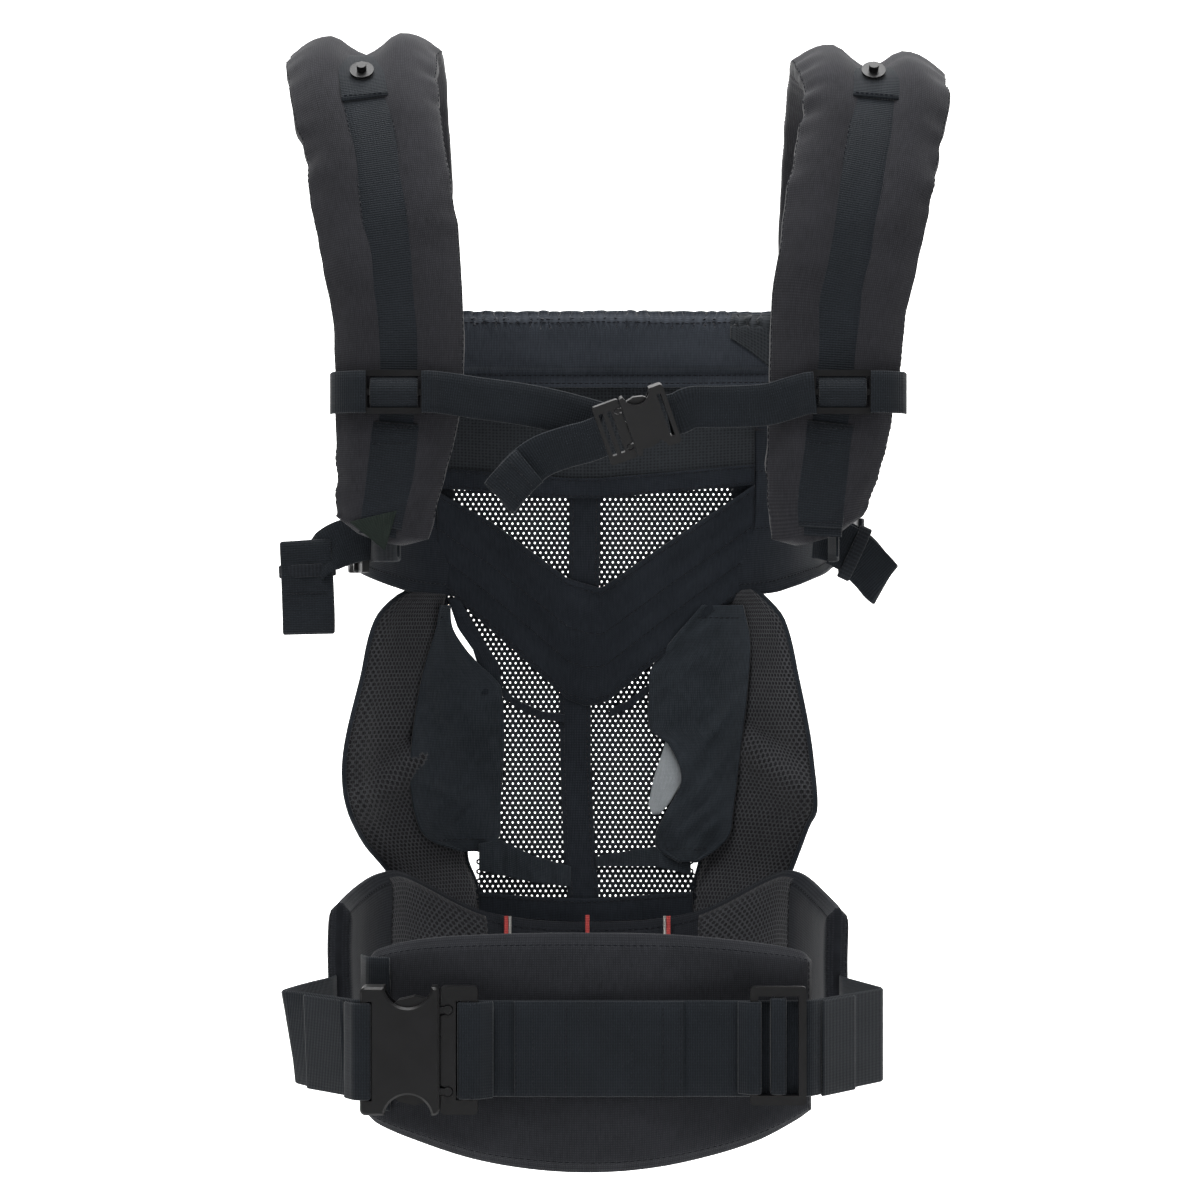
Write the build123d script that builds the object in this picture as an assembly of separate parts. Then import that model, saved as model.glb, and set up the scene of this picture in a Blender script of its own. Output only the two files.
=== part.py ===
from build123d import *
import math
import os

# Soft baby carrier, shown as it hangs on its wearer, who is absent.
# Millimetres. +Z is up, +Y points from the wearer's back towards the baby panel, and +X is to the
# right seen from behind the wearer. The origin is the centre of the waist loop, at the height of
# the middle of the waist webbing.

# Webbing: width and thickness
BELT_WIDTH = 50.0
BELT_THICK = 1.6
STRAP_WEB_WIDTH = 25.0
CHEST_WEB_WIDTH = 22.0
LIGHT_WEB_THICK = 1.2
GAP = 0.4

# Waistband and lumbar pad
WAIST_THICK = 14.0
PAD_THICK = 17.0
PAD_HALF = 117.0
COVER = 1.5
FOAM_GAP = 0.3

# Belt line in front of the lumbar pad
BUCKLE_Y = -123.5
BELT_Y = -119.1
BELT_EAR_X = 160.0

# Baby panel
MESH_THICK = 2.0
OVERLAY_THICK = 1.4
PANEL_TOP = 366.0
UPPER_SHIFT = 15.0
# Y and Z of the line that the head support folds about
HEAD_HINGE = (125.5, PANEL_TOP)

# Shoulder straps: distance of the centre line from the upper part's middle, then Y, Z,
# width and thickness, from the panel, over the shoulder, to the free end behind the arm
STRAP_STATIONS = [
    (126.0, 108.0, 352.0, 58.0, 14.0),
    (127.0, 108.0, 378.0, 60.0, 17.0),
    (128.5, 106.0, 408.0, 64.0, 19.0),
    (130.0, 103.0, 437.0, 68.0, 20.0),
    (133.0, 89.0, 477.0, 73.0, 21.0),
    (136.0, 66.0, 508.0, 78.0, 22.0),
    (138.0, 36.0, 529.0, 82.0, 22.0),
    (139.0, 2.0, 537.0, 84.0, 22.0),
    (138.0, -29.0, 528.0, 85.0, 22.0),
    (137.0, -54.0, 505.0, 84.0, 22.0),
    (133.0, -71.0, 477.0, 81.0, 22.0),
    (128.0, -83.0, 445.0, 78.0, 21.0),
    (124.0, -88.0, 415.0, 73.0, 20.5),
    (121.0, -90.0, 385.0, 68.0, 20.0),
    (117.0, -90.0, 335.0, 66.0, 20.0),
    (116.0, -89.0, 295.0, 62.0, 18.0),
    (116.0, -87.0, 264.0, 54.0, 14.0),
]
WEBBING_START = 9
CHEST_STATION = 14

# Chest strap
CHEST_Z = 343.5
CHEST_SLIDER_Y = -106.0
CHEST_BUCKLE = (20.0, -111.0, 325.0)
CHEST_ROLL = 20.0
CHEST_PITCH = 15.0

# Side-release buckles: housing length, thickness
WAIST_BUCKLE = (41.0, 13.0)
SMALL_BUCKLE = (24.0, 8.0)
LATCH_SQUEEZE = 13.0

SIDES = {"left": -1, "right": 1}


# ---------------------------------------------------------------- shape helpers


def save(name, shape):
    """Write one sub-part to its own STEP file."""
    shape.label = name
    export_step(shape, f"parts/{name}.step")


def smooth_face(left, right):
    """Face between two splines through equal numbers of points."""
    return Face(
        Wire(
            [
                Edge.make_spline(left),
                Edge.make_line(left[-1], right[-1]),
                Edge.make_spline(right[::-1]),
                Edge.make_line(right[0], left[0]),
            ]
        )
    )


def ribbon(points, thickness, offset=0.0, samples=14):
    """Curved band of even thickness along a spline, drawn in its own plane."""
    line = Edge.make_spline([Vector(*p) for p in points])
    left, right = [], []
    for i in range(samples + 1):
        at, along = line.position_at(i / samples), line.tangent_at(i / samples)
        side = Vector(-along.Y, along.X)
        left.append(at + side * (offset + thickness / 2))
        right.append(at + side * (offset - thickness / 2))
    return smooth_face(left, right)


def flat_outline(points):
    """Closed outline with straight sides."""
    return make_face(Polyline(*points, close=True))


def soft_outline(top, bottom):
    """Outline with smooth top and bottom edges, both listed from left to right."""
    ends = [Edge.make_line(top[-1], bottom[-1]), Edge.make_line(bottom[0], top[0])]
    return Face(Wire([Edge.make_spline(top), Edge.make_spline(bottom), *ends]))


def front_prism(outline, reach=200.0):
    """An outline in X and Z, extended both ways along Y."""
    return extrude(Plane.XZ * outline, amount=reach, both=True)


def side_prism(outline, reach=200.0):
    """An outline in Y and Z, extended both ways along X."""
    return extrude(Plane.YZ * outline, amount=reach, both=True)


def tall(face, low=-200.0, high=700.0):
    """A plan face extended upwards from one height to another."""
    return extrude(Pos(0, 0, low) * face, amount=high - low, dir=(0, 0, 1))


def strip(points, thickness, low, high, radius=2.0):
    """Upright webbing that follows a bent plan line, with the folds rounded."""
    line = FilletPolyline(*points, radius=radius)
    return tall(trace(line, thickness), low, high)


def block(x0, x1, y0, y1, z0, z1):
    """Box between two corners."""
    return Pos((x0 + x1) / 2, (y0 + y1) / 2, (z0 + z1) / 2) * Box(x1 - x0, y1 - y0, z1 - z0)


def plate(outline, thickness, middle=0.0):
    """An outline in X and Z, as a plate centred on one Y."""
    return Pos(0, middle, 0) * extrude(Plane.XZ * outline, amount=thickness / 2, both=True)


def staple(x0, x1, front, back, width, thickness):
    """Webbing that comes through one slot, crosses a bar and goes back through the next."""
    points = [(x0, back), (x0, front), (x1, front), (x1, back)]
    return strip(points, thickness, -width / 2, width / 2, radius=0.25 * (x1 - x0))


# ---------------------------------------------------------------- buckles


def latch_outline(length, half, grow=0.0):
    """Outline of the upper latch arm: knuckle, spring, catch shoulder and finger pad."""
    step, mouth, hinge = length / 41.0, 0.74 * half, latch_hinge(length, half)
    points = [
        (hinge[0], hinge[1] + 1.3 * step),
        (-0.12 * length, mouth - 1.2),
        (-0.15 * length, mouth + 1.9 * step),
        (-0.32 * length, mouth + 3.6 * step),
        (-0.52 * length, mouth + 1.6 * step),
        (-0.66 * length, mouth * 0.84),
        (-0.60 * length, mouth * 0.68),
        (-0.30 * length, mouth * 0.72),
        (hinge[0], hinge[1] - 1.3 * step),
    ]
    arm = flat_outline(points)
    if grow:
        arm = offset(arm, amount=grow, kind=Kind.INTERSECTION)
    return arm + Pos(hinge[0], hinge[1]) * Circle(2.3 * step + grow)


def latch_hinge(length, half):
    """Centre of a latch arm's root, in the buckle's X and Z."""
    return 4.2 * length / 41.0, 0.74 * half - 3.4 * length / 41.0


def side_release_buckle(webbing, length, thickness):
    """
    Housing, tongue and two latch arms. The webbing runs along X and the mouth is at X = 0: the
    housing lies on the -X side, and the tongue leaves towards +X. Y is the thickness.
    """
    step = length / 41.0
    half = webbing / 2 + 3.0 + 0.1 * webbing
    mouth = 0.74 * half
    cavity = thickness - 3.6
    slot = 2.2 + 0.6 * (step > 0.8)
    bar = 2.4 + 1.0 * (step > 0.8)
    opening = webbing + 1.2

    body = Pos(-length / 2, 0) * RectangleRounded(length, 2 * half, 3.0 * step)
    for edge in (-half - 1.5 * step, half + 1.5 * step):
        body -= Pos(-0.40 * length, edge) * Ellipse(0.30 * length, 12.0 * step)
    housing = plate(body, thickness)
    housing = chamfer(housing.faces().sort_by(Axis.Y)[0].edges(), 1.0 * step + 0.2)
    housing -= block(-0.75 * length, -0.12 * length, -cavity / 2, cavity / 2, 2 - half, half - 2)
    housing -= block(-0.13 * length, 1, -cavity / 2, cavity / 2, -mouth, mouth)
    housing -= block(bar - length, bar + slot - length, -thickness, thickness, -opening / 2, opening / 2)

    hinge = latch_hinge(length, half)
    arm = latch_outline(length, half)
    upper = plate(arm, cavity - 1.0)
    lower = mirror(upper, Plane.XY)

    first = hinge[0] + 2.3 * step + GAP + 1.4
    last = first + 2 * slot + bar + 2.2
    frame_thick = thickness / 2
    frame = Pos((last + GAP) / 2, 0) * RectangleRounded(last - GAP, 2 * half, 2.0 * step)
    tongue = plate(frame, frame_thick)
    for start in (first, first + slot + bar):
        tongue -= block(start, start + slot, -thickness, thickness, -opening / 2, opening / 2)
    tongue += block(-0.70 * length, 2.0, -0.15 * thickness, 0.15 * thickness, -0.26 * mouth, 0.26 * mouth)
    room = latch_outline(length, half, grow=GAP)
    for turn in (0, LATCH_SQUEEZE / 2, LATCH_SQUEEZE):
        turned = Pos(*hinge) * Rot(0, 0, turn) * Pos(-hinge[0], -hinge[1]) * room
        pocket = plate(turned, thickness)
        tongue = tongue - pocket - mirror(pocket, Plane.XY)
    tongue = tongue.solids().sort_by(SortBy.VOLUME)[-1]

    front = -frame_thick / 2 - 1.1
    loop = staple(first + slot / 2, last - 2.2 - slot / 2, front, frame_thick / 2 + 0.2, webbing,
                  LIGHT_WEB_THICK + 0.2 * (step > 0.8))
    return {"housing": housing, "tongue": tongue, "latch_upper": upper, "latch_lower": lower, "loop": loop}


def triglide(webbing, length, rim, bar, thickness):
    """Flat frame with two slots and a middle bar. The webbing runs along X."""
    height = webbing + 2 * rim + 1.2
    frame = plate(RectangleRounded(length, height, 2.0), thickness)
    slot = (length - 3 * bar) / 2
    for side in (-1, 1):
        middle = side * (slot + bar) / 2
        frame -= Pos(middle, 0, 0) * Box(slot, 2 * thickness, webbing + 1.2)
    loop = staple(-bar / 2 - 1.4, bar / 2 + 1.4, -thickness / 2 - 1.1, thickness / 2 + 0.2, webbing, BELT_THICK)
    return frame, loop


# ---------------------------------------------------------------- where each buckle stands


def waist_frame():
    return Plane(origin=(-77.0, BUCKLE_Y, 3.0), x_dir=(1, 0, 0), z_dir=(0, 0, 1))


def chest_frame():
    """The chest buckle hangs rolled and pitched, with its tongue to the left and down."""
    roll, pitch = math.radians(CHEST_ROLL), math.radians(CHEST_PITCH)
    along = Vector(-math.cos(roll), 0, -math.sin(roll))
    up = Vector(-math.sin(roll) * math.cos(pitch), -math.sin(pitch), math.cos(roll) * math.cos(pitch))
    return Plane(origin=CHEST_BUCKLE, x_dir=along, z_dir=up)


def underarm_frame(side):
    """The under-arm buckle points from the yoke wing towards the free end of the strap."""
    return Plane(origin=(UPPER_SHIFT * 0.5 + side * 133.0, -26.0, 268.0), x_dir=(-side * 0.25, -1, 0), z_dir=(0, 0, 1))


# ---------------------------------------------------------------- waist


WAIST_PLAN = [(-146, -15), (-140, 38), (-103, 90), (0, 113), (103, 90), (140, 38), (146, -15)]
WAIST_TOP = [(-150, 50), (-134, 70), (-112, 76), (-62, 50), (0, 43), (62, 50), (112, 76), (134, 70), (150, 50)]


def waist_outline(inset=0.0):
    top = [(x, z - inset) for x, z in WAIST_TOP]
    corners = [(150, -30 + inset), (100, -45 + inset), (-100, -45 + inset), (-150, -30 + inset)]
    edges = [Edge.make_spline(top)]
    chain = [top[-1], *corners, top[0]]
    edges += [Edge.make_line(a, b) for a, b in zip(chain, chain[1:])]
    return Face(Wire(edges))


def waistband():
    def layer(thickness, inset, trim):
        solid = tall(ribbon(WAIST_PLAN, thickness)) & front_prism(waist_outline(inset))
        return solid & block(-300, 300, -15 + trim, 300, -300, 300)

    inner = layer(WAIST_THICK - 2 * COVER, COVER, COVER)
    save("waistband_cover", layer(WAIST_THICK, 0, 0.2) - inner)
    inset = COVER + FOAM_GAP
    save("waistband_foam", layer(WAIST_THICK - 2 * inset, inset, inset))


PAD_PLAN = [(-PAD_HALF, -80), (-60, -100.5), (0, -108), (60, -100.5), (PAD_HALF, -80)]
PAD_TOP = [(-PAD_HALF, 47), (-88, 56), (-45, 60.5), (0, 61.5), (45, 60), (88, 54), (PAD_HALF, 46)]
PAD_BOTTOM = [(-PAD_HALF, -34), (-75, -49), (-36, -60), (0, -63), (45, -58), (88, -45), (PAD_HALF, -35)]


def lumbar_pad():
    def layer(thickness, inset):
        squeeze = (PAD_HALF - inset) / PAD_HALF
        top = [(x * squeeze, z - inset) for x, z in PAD_TOP]
        bottom = [(x * squeeze, z + inset) for x, z in PAD_BOTTOM]
        return tall(ribbon(PAD_PLAN, thickness)) & front_prism(soft_outline(top, bottom))

    inner = layer(PAD_THICK - 2 * COVER, COVER)
    save("lumbar_pad_cover", layer(PAD_THICK, 0) - inner)
    inset = COVER + FOAM_GAP
    save("lumbar_pad_foam", layer(PAD_THICK - 2 * inset, inset))


def waist_webbing():
    low, high = 3.0 - BELT_WIDTH / 2, 3.0 + BELT_WIDTH / 2
    length = WAIST_BUCKLE[0]
    outer = waist_frame().origin.X - length
    slot_x = outer + 3.4 + 1.4
    left = [
        (-139.5, -2), (-140.5, -24), (2 - BELT_EAR_X, -78), (outer - 3, BUCKLE_Y + 6.5 + 1.4),
        (slot_x, BUCKLE_Y + 6.5 + 1.4), (slot_x, BUCKLE_Y - 6.5 - 1.2), (outer - 2.2, BUCKLE_Y - 6.5 - 1.2),
        (outer - 7, BUCKLE_Y + 0.5),
    ]
    save("waist_webbing_left", strip(left, BELT_THICK, low, high, radius=1.3))
    right = [(-69, BELT_Y), (114, BELT_Y), (BELT_EAR_X, -70), (140.5, -24), (139.5, -2)]
    save("waist_webbing_right", strip(right, BELT_THICK, low, high, radius=3.0))


def waist_hardware():
    frame = waist_frame()
    for name, solid in side_release_buckle(BELT_WIDTH, *WAIST_BUCKLE).items():
        save(f"waist_buckle_{name}", frame * solid)
    glide, loop = triglide(BELT_WIDTH, 29.0, 5.0, 4.0, 4.0)
    place = Pos(97.5, BELT_Y - BELT_THICK / 2 - 2.0 - GAP, 5.0)
    save("waist_triglide", place * glide)
    save("waist_triglide_loop", place * loop)


# ---------------------------------------------------------------- baby panel


PANEL_PROFILE = [(122.5, 40), (128, 75), (135, 120), (137, 170), (132, 240), (125, 300), (121, PANEL_TOP)]


def sheet(outline, offset_in, thickness):
    """A piece of the baby panel: it follows the panel's profile, this far in front of the mesh."""
    wall = extrude(Plane.YZ * ribbon(PANEL_PROFILE, thickness, offset_in), amount=200, both=True)
    return wall & front_prism(outline)


def panel():
    mesh = [(-64, 47), (58, 47), (66, 80), (98, 130), (98, PANEL_TOP), (-92, PANEL_TOP), (-92, 130), (-70, 80)]
    save("mesh_panel", sheet(flat_outline(mesh), 0, MESH_THICK))
    layer = (MESH_THICK + OVERLAY_THICK) / 2 + 0.1
    strip_outline = [(-13, 60), (4, 60), (5, 296), (-13, 296)]
    band = [(-92, PANEL_TOP - 1), (98, PANEL_TOP - 1), (98, 305), (6, 297), (-13, 297), (-92, 303)]
    yoke = [(-92, 294), (-14, 248), (6, 242), (98, 301), (98, 242), (87, 235), (14, 176), (-3, 172), (-19, 177),
            (-81, 236), (-92, 244)]
    hem = flat_outline([(-64, 59), (58, 59), (58, 51), (30, 48), (-3, 47), (-36, 48), (-64, 52)])
    cross = [flat_outline([(-55, 87), (-14, 84), (-14, 73), (-55, 73)]), flat_outline([(5, 84), (40, 87), (40, 73), (5, 73)])]
    save("centre_strip", sheet(flat_outline(strip_outline), layer, OVERLAY_THICK))
    save("upper_band", sheet(flat_outline(band), layer, OVERLAY_THICK))
    save("v_yoke", sheet(flat_outline(yoke), layer + OVERLAY_THICK + 0.1, OVERLAY_THICK))
    save("seat_hem", sheet(hem, layer, OVERLAY_THICK))
    save("seat_cross_bands", Compound(children=[sheet(c, layer, OVERLAY_THICK) for c in cross]))


LEAF_LEFT = [(-94, 211), (-70, 196), (-53, 174), (-53, 93), (-70, 88), (-88, 92), (-103, 117), (-103, 182)]
LEAF_RIGHT = [(32, 172), (59, 214), (84, 211), (91, 140), (86, 90), (59, 84), (44, 112), (37, 150)]


def seat_leaves():
    """Plain cotton flaps that narrow the seat, sewn to the inner face of the panel's sides."""
    for name, outline in (("left", LEAF_LEFT), ("right", LEAF_RIGHT)):
        save(f"seat_leaf_{name}", sheet(flat_outline(outline), 7.0, OVERLAY_THICK))


WING_EDGE = [(-86, 243), (-108, 242), (-124, 223), (-133, 189), (-138, 154), (-140, 131), (-136, 111), (-128, 93),
             (-116, 78), (-110, 58), (-104, 36), (-68, 36), (-66, 70), (-70, 120), (-80, 180)]
WING_PLAN = [(-64, 139), (-84, 131), (-106, 113), (-128, 86), (-141, 54)]


def side_wings():
    """Padded spacer-mesh sides, which curve forward round the baby's thighs."""
    for name, side in SIDES.items():
        plan = [(-side * x, y) for x, y in WING_PLAN]
        edge = [(-side * x, z) for x, z in WING_EDGE]
        wing = tall(ribbon(plan, 8.0, 3.0 * -side)) & front_prism(flat_outline(edge))
        save(f"side_wing_{name}", wing)


YOKE_WING_PLAN = [(-84, 129), (-108, 112), (-128, 80), (-134, 40), (-134, 8)]
YOKE_WING_SIDE = [(140, 246), (140, 352), (108, 350), (60, 320), (30, 300), (8, 292), (8, 250), (40, 244), (80, 238)]


def yoke_wings():
    """Upper side panels, which carry the load from the panel's yoke to the under-arm buckles."""
    for name, side in SIDES.items():
        plan = [(UPPER_SHIFT * 0.5 - side * x, y) for x, y in YOKE_WING_PLAN]
        wing = tall(ribbon(plan, 6.0)) & side_prism(flat_outline(YOKE_WING_SIDE))
        save(f"yoke_wing_{name}", wing)


HEAD_PLAN = [(-70, 104), (-30, 113), (15, 115), (60, 113), (100, 104)]


def head_support():
    """Padded roll above the panel, with a foam core."""
    def layer(thickness, inset):
        low, high = HEAD_HINGE[1] + 2.5 + inset, 408 - inset
        ends = block(-70 + inset, 100 - inset, 0, 200, low, high)
        return tall(ribbon(HEAD_PLAN, thickness)) & ends

    inner = layer(16.0 - 2 * COVER, COVER)
    save("head_support_cover", layer(16.0, 0) - inner)
    inset = COVER + FOAM_GAP
    save("head_support_foam", layer(16.0 - 2 * inset, inset))


# ---------------------------------------------------------------- shoulder straps


def strap_planes(side):
    """One plane across the strap at each station: its X runs across the strap, its Z along it."""
    points = [Vector(UPPER_SHIFT + side * x, y, z) for x, y, z, _, _ in STRAP_STATIONS]
    planes = []
    for i, at in enumerate(points):
        along = points[min(i + 1, len(points) - 1)] - points[max(i - 1, 0)]
        along = along.normalized()
        planes.append(Plane(origin=at, x_dir=Vector(1, 0, 0) - along * along.X, z_dir=along))
    return planes


def outward(plane):
    """Unit vector from the strap towards its outer face, away from the shoulder."""
    centre = Vector(plane.origin.X, 0, 400)
    way = plane.y_dir
    return way if way.dot(plane.origin - centre) > 0 else way * -1


def pad_section(width, thick, points=16, power=3.0):
    """Face of a padded strap's cross-section: a flat oval."""
    ring = []
    for i in range(points):
        angle = 2 * math.pi * i / points
        across, out = math.cos(angle), math.sin(angle)
        swell = (abs(across) ** power + abs(out) ** power) ** (-1 / power)
        ring.append(Vector(across * swell * width / 2, out * swell * thick / 2))
    return Face(Wire([Edge.make_spline(ring, periodic=True)]))


def strap_loft(side, inset=0.0):
    """The padded strap, or a smaller solid inside it, this far in from its surface."""
    sections = []
    planes = strap_planes(side)
    for i, (plane, (_, _, _, width, thick)) in enumerate(zip(planes, STRAP_STATIONS)):
        inwards = inset * ((i == 0) - (i == len(planes) - 1))
        sections.append(plane * Pos(0, 0, inwards) * pad_section(width - 2 * inset, thick - 2 * inset))
    return loft(sections, ruled=True)


def shoulder_straps():
    for name, side in SIDES.items():
        save(f"shoulder_strap_cover_{name}", strap_loft(side) - strap_loft(side, COVER))
        save(f"shoulder_strap_foam_{name}", strap_loft(side, COVER + FOAM_GAP))


def strap_webbing():
    """Webbing sewn down the outer face of each strap, from the press stud to the free end."""
    for name, side in SIDES.items():
        sections = []
        for plane, (_, _, _, _, thick) in list(zip(strap_planes(side), STRAP_STATIONS))[WEBBING_START:]:
            lift = thick / 2 + 0.3 + LIGHT_WEB_THICK / 2
            at = plane.origin + outward(plane) * lift
            across = Plane(origin=at, x_dir=plane.x_dir, z_dir=plane.z_dir)
            sections.append(across * Rectangle(STRAP_WEB_WIDTH, LIGHT_WEB_THICK))
        save(f"strap_webbing_{name}", loft(sections, ruled=True))


def stud_frame(side):
    """The press stud stands on the top of the strap, just above the end of the webbing."""
    plane, thick = strap_planes(side)[WEBBING_START], STRAP_STATIONS[WEBBING_START][4]
    up = outward(plane)
    base = plane.origin - plane.z_dir * (9.0 if plane.z_dir.Z < 0 else -9.0) + up * (thick / 2 + 1.2)
    return Plane(origin=base, x_dir=plane.x_dir, z_dir=up)


def strap_studs():
    studs = []
    for side in SIDES.values():
        cap = Pos(0, 0, 0.6) * Cylinder(6.5, 1.2)
        post = Pos(0, 0, 2.9) * Cylinder(2.6, 3.4)
        studs.append(stud_frame(side) * (cap + post))
    save("strap_studs", Compound(children=studs))


# ---------------------------------------------------------------- chest strap


def slider_centre(side):
    plane = strap_planes(side)[CHEST_STATION]
    return plane.origin.X, CHEST_SLIDER_Y, CHEST_Z


def chest_sliders():
    """Frames that the strap webbing crosses on a middle bar, with the chest webbing at the side."""
    loops = []
    for name, side in SIDES.items():
        place = Pos(*slider_centre(side))
        frame = RectangleRounded(33.6, 23.0, 2.0)
        for height in (-4.9, 4.9):
            frame -= Pos(0, height) * Rectangle(28.0, 6.6)
        save(f"chest_slider_{name}", place * plate(frame, 3.2))
        over = staple(-3.4, 3.4, -2.9, 1.8, STRAP_WEB_WIDTH, LIGHT_WEB_THICK)
        loops.append(place * Rot(0, 90, 0) * over)
    save("chest_slider_loops", Compound(children=loops))


def chest_webbing():
    """The two halves of the chest webbing, from the sliders to the buckle, and outer edge tabs."""
    y = CHEST_SLIDER_Y
    half = CHEST_WEB_WIDTH / 2
    low, high = 290.0, 370.0
    frame = chest_frame()
    end = frame.origin - frame.x_dir * (SMALL_BUCKLE[0] - 1.0)
    tabs = []
    for name, side in SIDES.items():
        x = slider_centre(side)[0]
        grip = [(x - side * 14.0, y - 2.7), (x - side * 19, y - 2.7)]
        if side < 0:
            run = [*grip, (-60, y + 2.9), (-6, y + 3.6)]
            front = [(-94, 354.5), (-58, 351.5), (-16, 345), (-3, 339), (-3, 322), (-16, 323), (-58, 329.5),
                     (-94, 332.5)]
        else:
            run = [*grip, (100, y + 1.0), (end.X + 4.5, y - 1.2), (end.X - 2.6, y - 1.0), (end.X - 2.6, y - 8.0)]
            front = [(end.X - 4, 344), (60, 347), (92, 347), (125, 354.5), (125, 332.5), (92, 325), (60, 324),
                     (end.X - 4, 322)]
        shape = strip(run, LIGHT_WEB_THICK, low, high, radius=1.0)
        save(f"chest_webbing_{name}", shape & front_prism(flat_outline(front)))
        tab = [(x + side * 14.0, y - 2.7), (x + side * 20, y - 3.0), (x + side * 37, y + 5.6), (x + side * 38.6, y + 14)]
        tabs.append(strip(tab, LIGHT_WEB_THICK, CHEST_Z - half, CHEST_Z + half, radius=1.0))
    save("chest_edge_tabs", Compound(children=tabs))


def chest_hardware():
    frame = chest_frame()
    pieces = side_release_buckle(CHEST_WEB_WIDTH, *SMALL_BUCKLE)
    tail = [(12.0, -3.4), (17, -4.6), (26, -3.5), (44, 0.5), (46, 3.0), (40, 3.4)]
    tail = strip(tail, LIGHT_WEB_THICK, -CHEST_WEB_WIDTH / 2, CHEST_WEB_WIDTH / 2, radius=1.0)
    pieces["webbing_tail"] = Compound(children=[pieces.pop("loop"), tail])
    for name, solid in pieces.items():
        save(f"chest_buckle_{name}", frame * solid)


# ---------------------------------------------------------------- under-arm buckles


def underarm():
    """A small buckle under each arm joins the strap's free end to the yoke wing."""
    middle = 268.0
    low, high = middle - STRAP_WEB_WIDTH / 2, middle + STRAP_WEB_WIDTH / 2
    end = SMALL_BUCKLE[0]
    keepers, wings, leads = [], [], []
    for name, side in SIDES.items():
        frame = underarm_frame(side)

        def spot(along, away):
            place = frame.origin + frame.x_dir * along + frame.y_dir * away * side
            return place.X, place.Y

        pieces = side_release_buckle(STRAP_WEB_WIDTH, *SMALL_BUCKLE)
        loop = frame * Rot(90 + 90 * side, 0, 0) * pieces.pop("loop")
        for piece, solid in pieces.items():
            save(f"underarm_{piece}_{name}", frame * solid)

        wing = [spot(-end - 14, 0.5), spot(-end - 3.5, 5.4), spot(3.5 - end, 5.4), spot(3.5 - end, -5.4),
                spot(-end - 2.5, -5.4)]
        wings.append(strip(wing, LIGHT_WEB_THICK, low, high, radius=1.0))
        strap_x = UPPER_SHIFT + side * 116
        lead = [spot(6, -3.4), spot(33, -3.4), (strap_x, -76), (strap_x, -86)]
        leads.append(strip(lead, LIGHT_WEB_THICK, low, high, radius=2.0))
        tail = [spot(14, 3.6), spot(16, 10), spot(13, 30), spot(17, 38), spot(24, 34)]
        tail = strip(tail, LIGHT_WEB_THICK, low - 10, high - 10, radius=1.5)
        save(f"strap_tail_{name}", Compound(children=[loop, tail]))
        keeper = Box(5.0, 13.0, 29.0) - Box(6.0, 11.0, 27.0)
        at = spot(14, 23)
        keepers.append((name, Pos(*at, middle - 10) * Rot(0, 0, 14 * side) * keeper))
    save("wing_webbings", Compound(children=wings))
    save("strap_end_webbings", Compound(children=leads))
    for name, keeper in keepers:
        save(f"tail_keeper_{name}", keeper)


def seat_markers():
    """Three small fabric tabs on the waistband that show the seat's width settings."""
    tabs = [block(x - 1.6, x + 1.6, y - 1.4, y, 30, 43) for x, y in ((-50, 99.5), (-2, 105.6), (46, 100.2))]
    save("seat_marker_tabs", Compound(children=tabs))


def main():
    os.makedirs("parts", exist_ok=True)
    waistband()
    lumbar_pad()
    waist_webbing()
    waist_hardware()
    panel()
    seat_leaves()
    side_wings()
    yoke_wings()
    head_support()
    shoulder_straps()
    strap_webbing()
    strap_studs()
    chest_sliders()
    chest_webbing()
    chest_hardware()
    underarm()
    seat_markers()


if __name__ == "__main__":
    main()
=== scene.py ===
import math

import bpy
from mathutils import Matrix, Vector, noise


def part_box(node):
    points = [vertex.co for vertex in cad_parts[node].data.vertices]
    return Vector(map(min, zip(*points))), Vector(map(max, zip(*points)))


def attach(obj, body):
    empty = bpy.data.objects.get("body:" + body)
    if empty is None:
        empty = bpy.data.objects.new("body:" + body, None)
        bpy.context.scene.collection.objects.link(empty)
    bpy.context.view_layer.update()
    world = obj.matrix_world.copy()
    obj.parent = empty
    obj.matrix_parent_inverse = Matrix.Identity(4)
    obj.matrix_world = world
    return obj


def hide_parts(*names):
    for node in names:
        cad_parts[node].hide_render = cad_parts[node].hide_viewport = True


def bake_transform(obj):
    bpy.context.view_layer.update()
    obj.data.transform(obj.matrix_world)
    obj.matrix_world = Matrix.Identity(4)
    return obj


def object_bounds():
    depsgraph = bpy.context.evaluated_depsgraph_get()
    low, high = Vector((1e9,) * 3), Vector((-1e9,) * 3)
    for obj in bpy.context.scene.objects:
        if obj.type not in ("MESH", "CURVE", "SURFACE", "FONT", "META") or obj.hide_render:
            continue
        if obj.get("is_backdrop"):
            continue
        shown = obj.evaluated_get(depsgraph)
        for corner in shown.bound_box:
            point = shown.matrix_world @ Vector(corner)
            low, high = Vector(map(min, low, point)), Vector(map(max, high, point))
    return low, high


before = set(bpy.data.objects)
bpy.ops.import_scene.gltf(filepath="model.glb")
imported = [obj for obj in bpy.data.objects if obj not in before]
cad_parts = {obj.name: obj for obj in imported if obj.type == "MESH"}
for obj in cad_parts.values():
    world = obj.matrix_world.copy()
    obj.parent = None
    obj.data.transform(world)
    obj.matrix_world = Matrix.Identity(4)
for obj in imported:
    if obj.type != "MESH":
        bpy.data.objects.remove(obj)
CAD_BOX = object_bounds()
MM = 0.001
SIDES = {"left": -1, "right": 1}


# ---------------------------------------------------------------- curves and small maths


def lerp(a, b, t):
    return a + (b - a) * t


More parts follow.
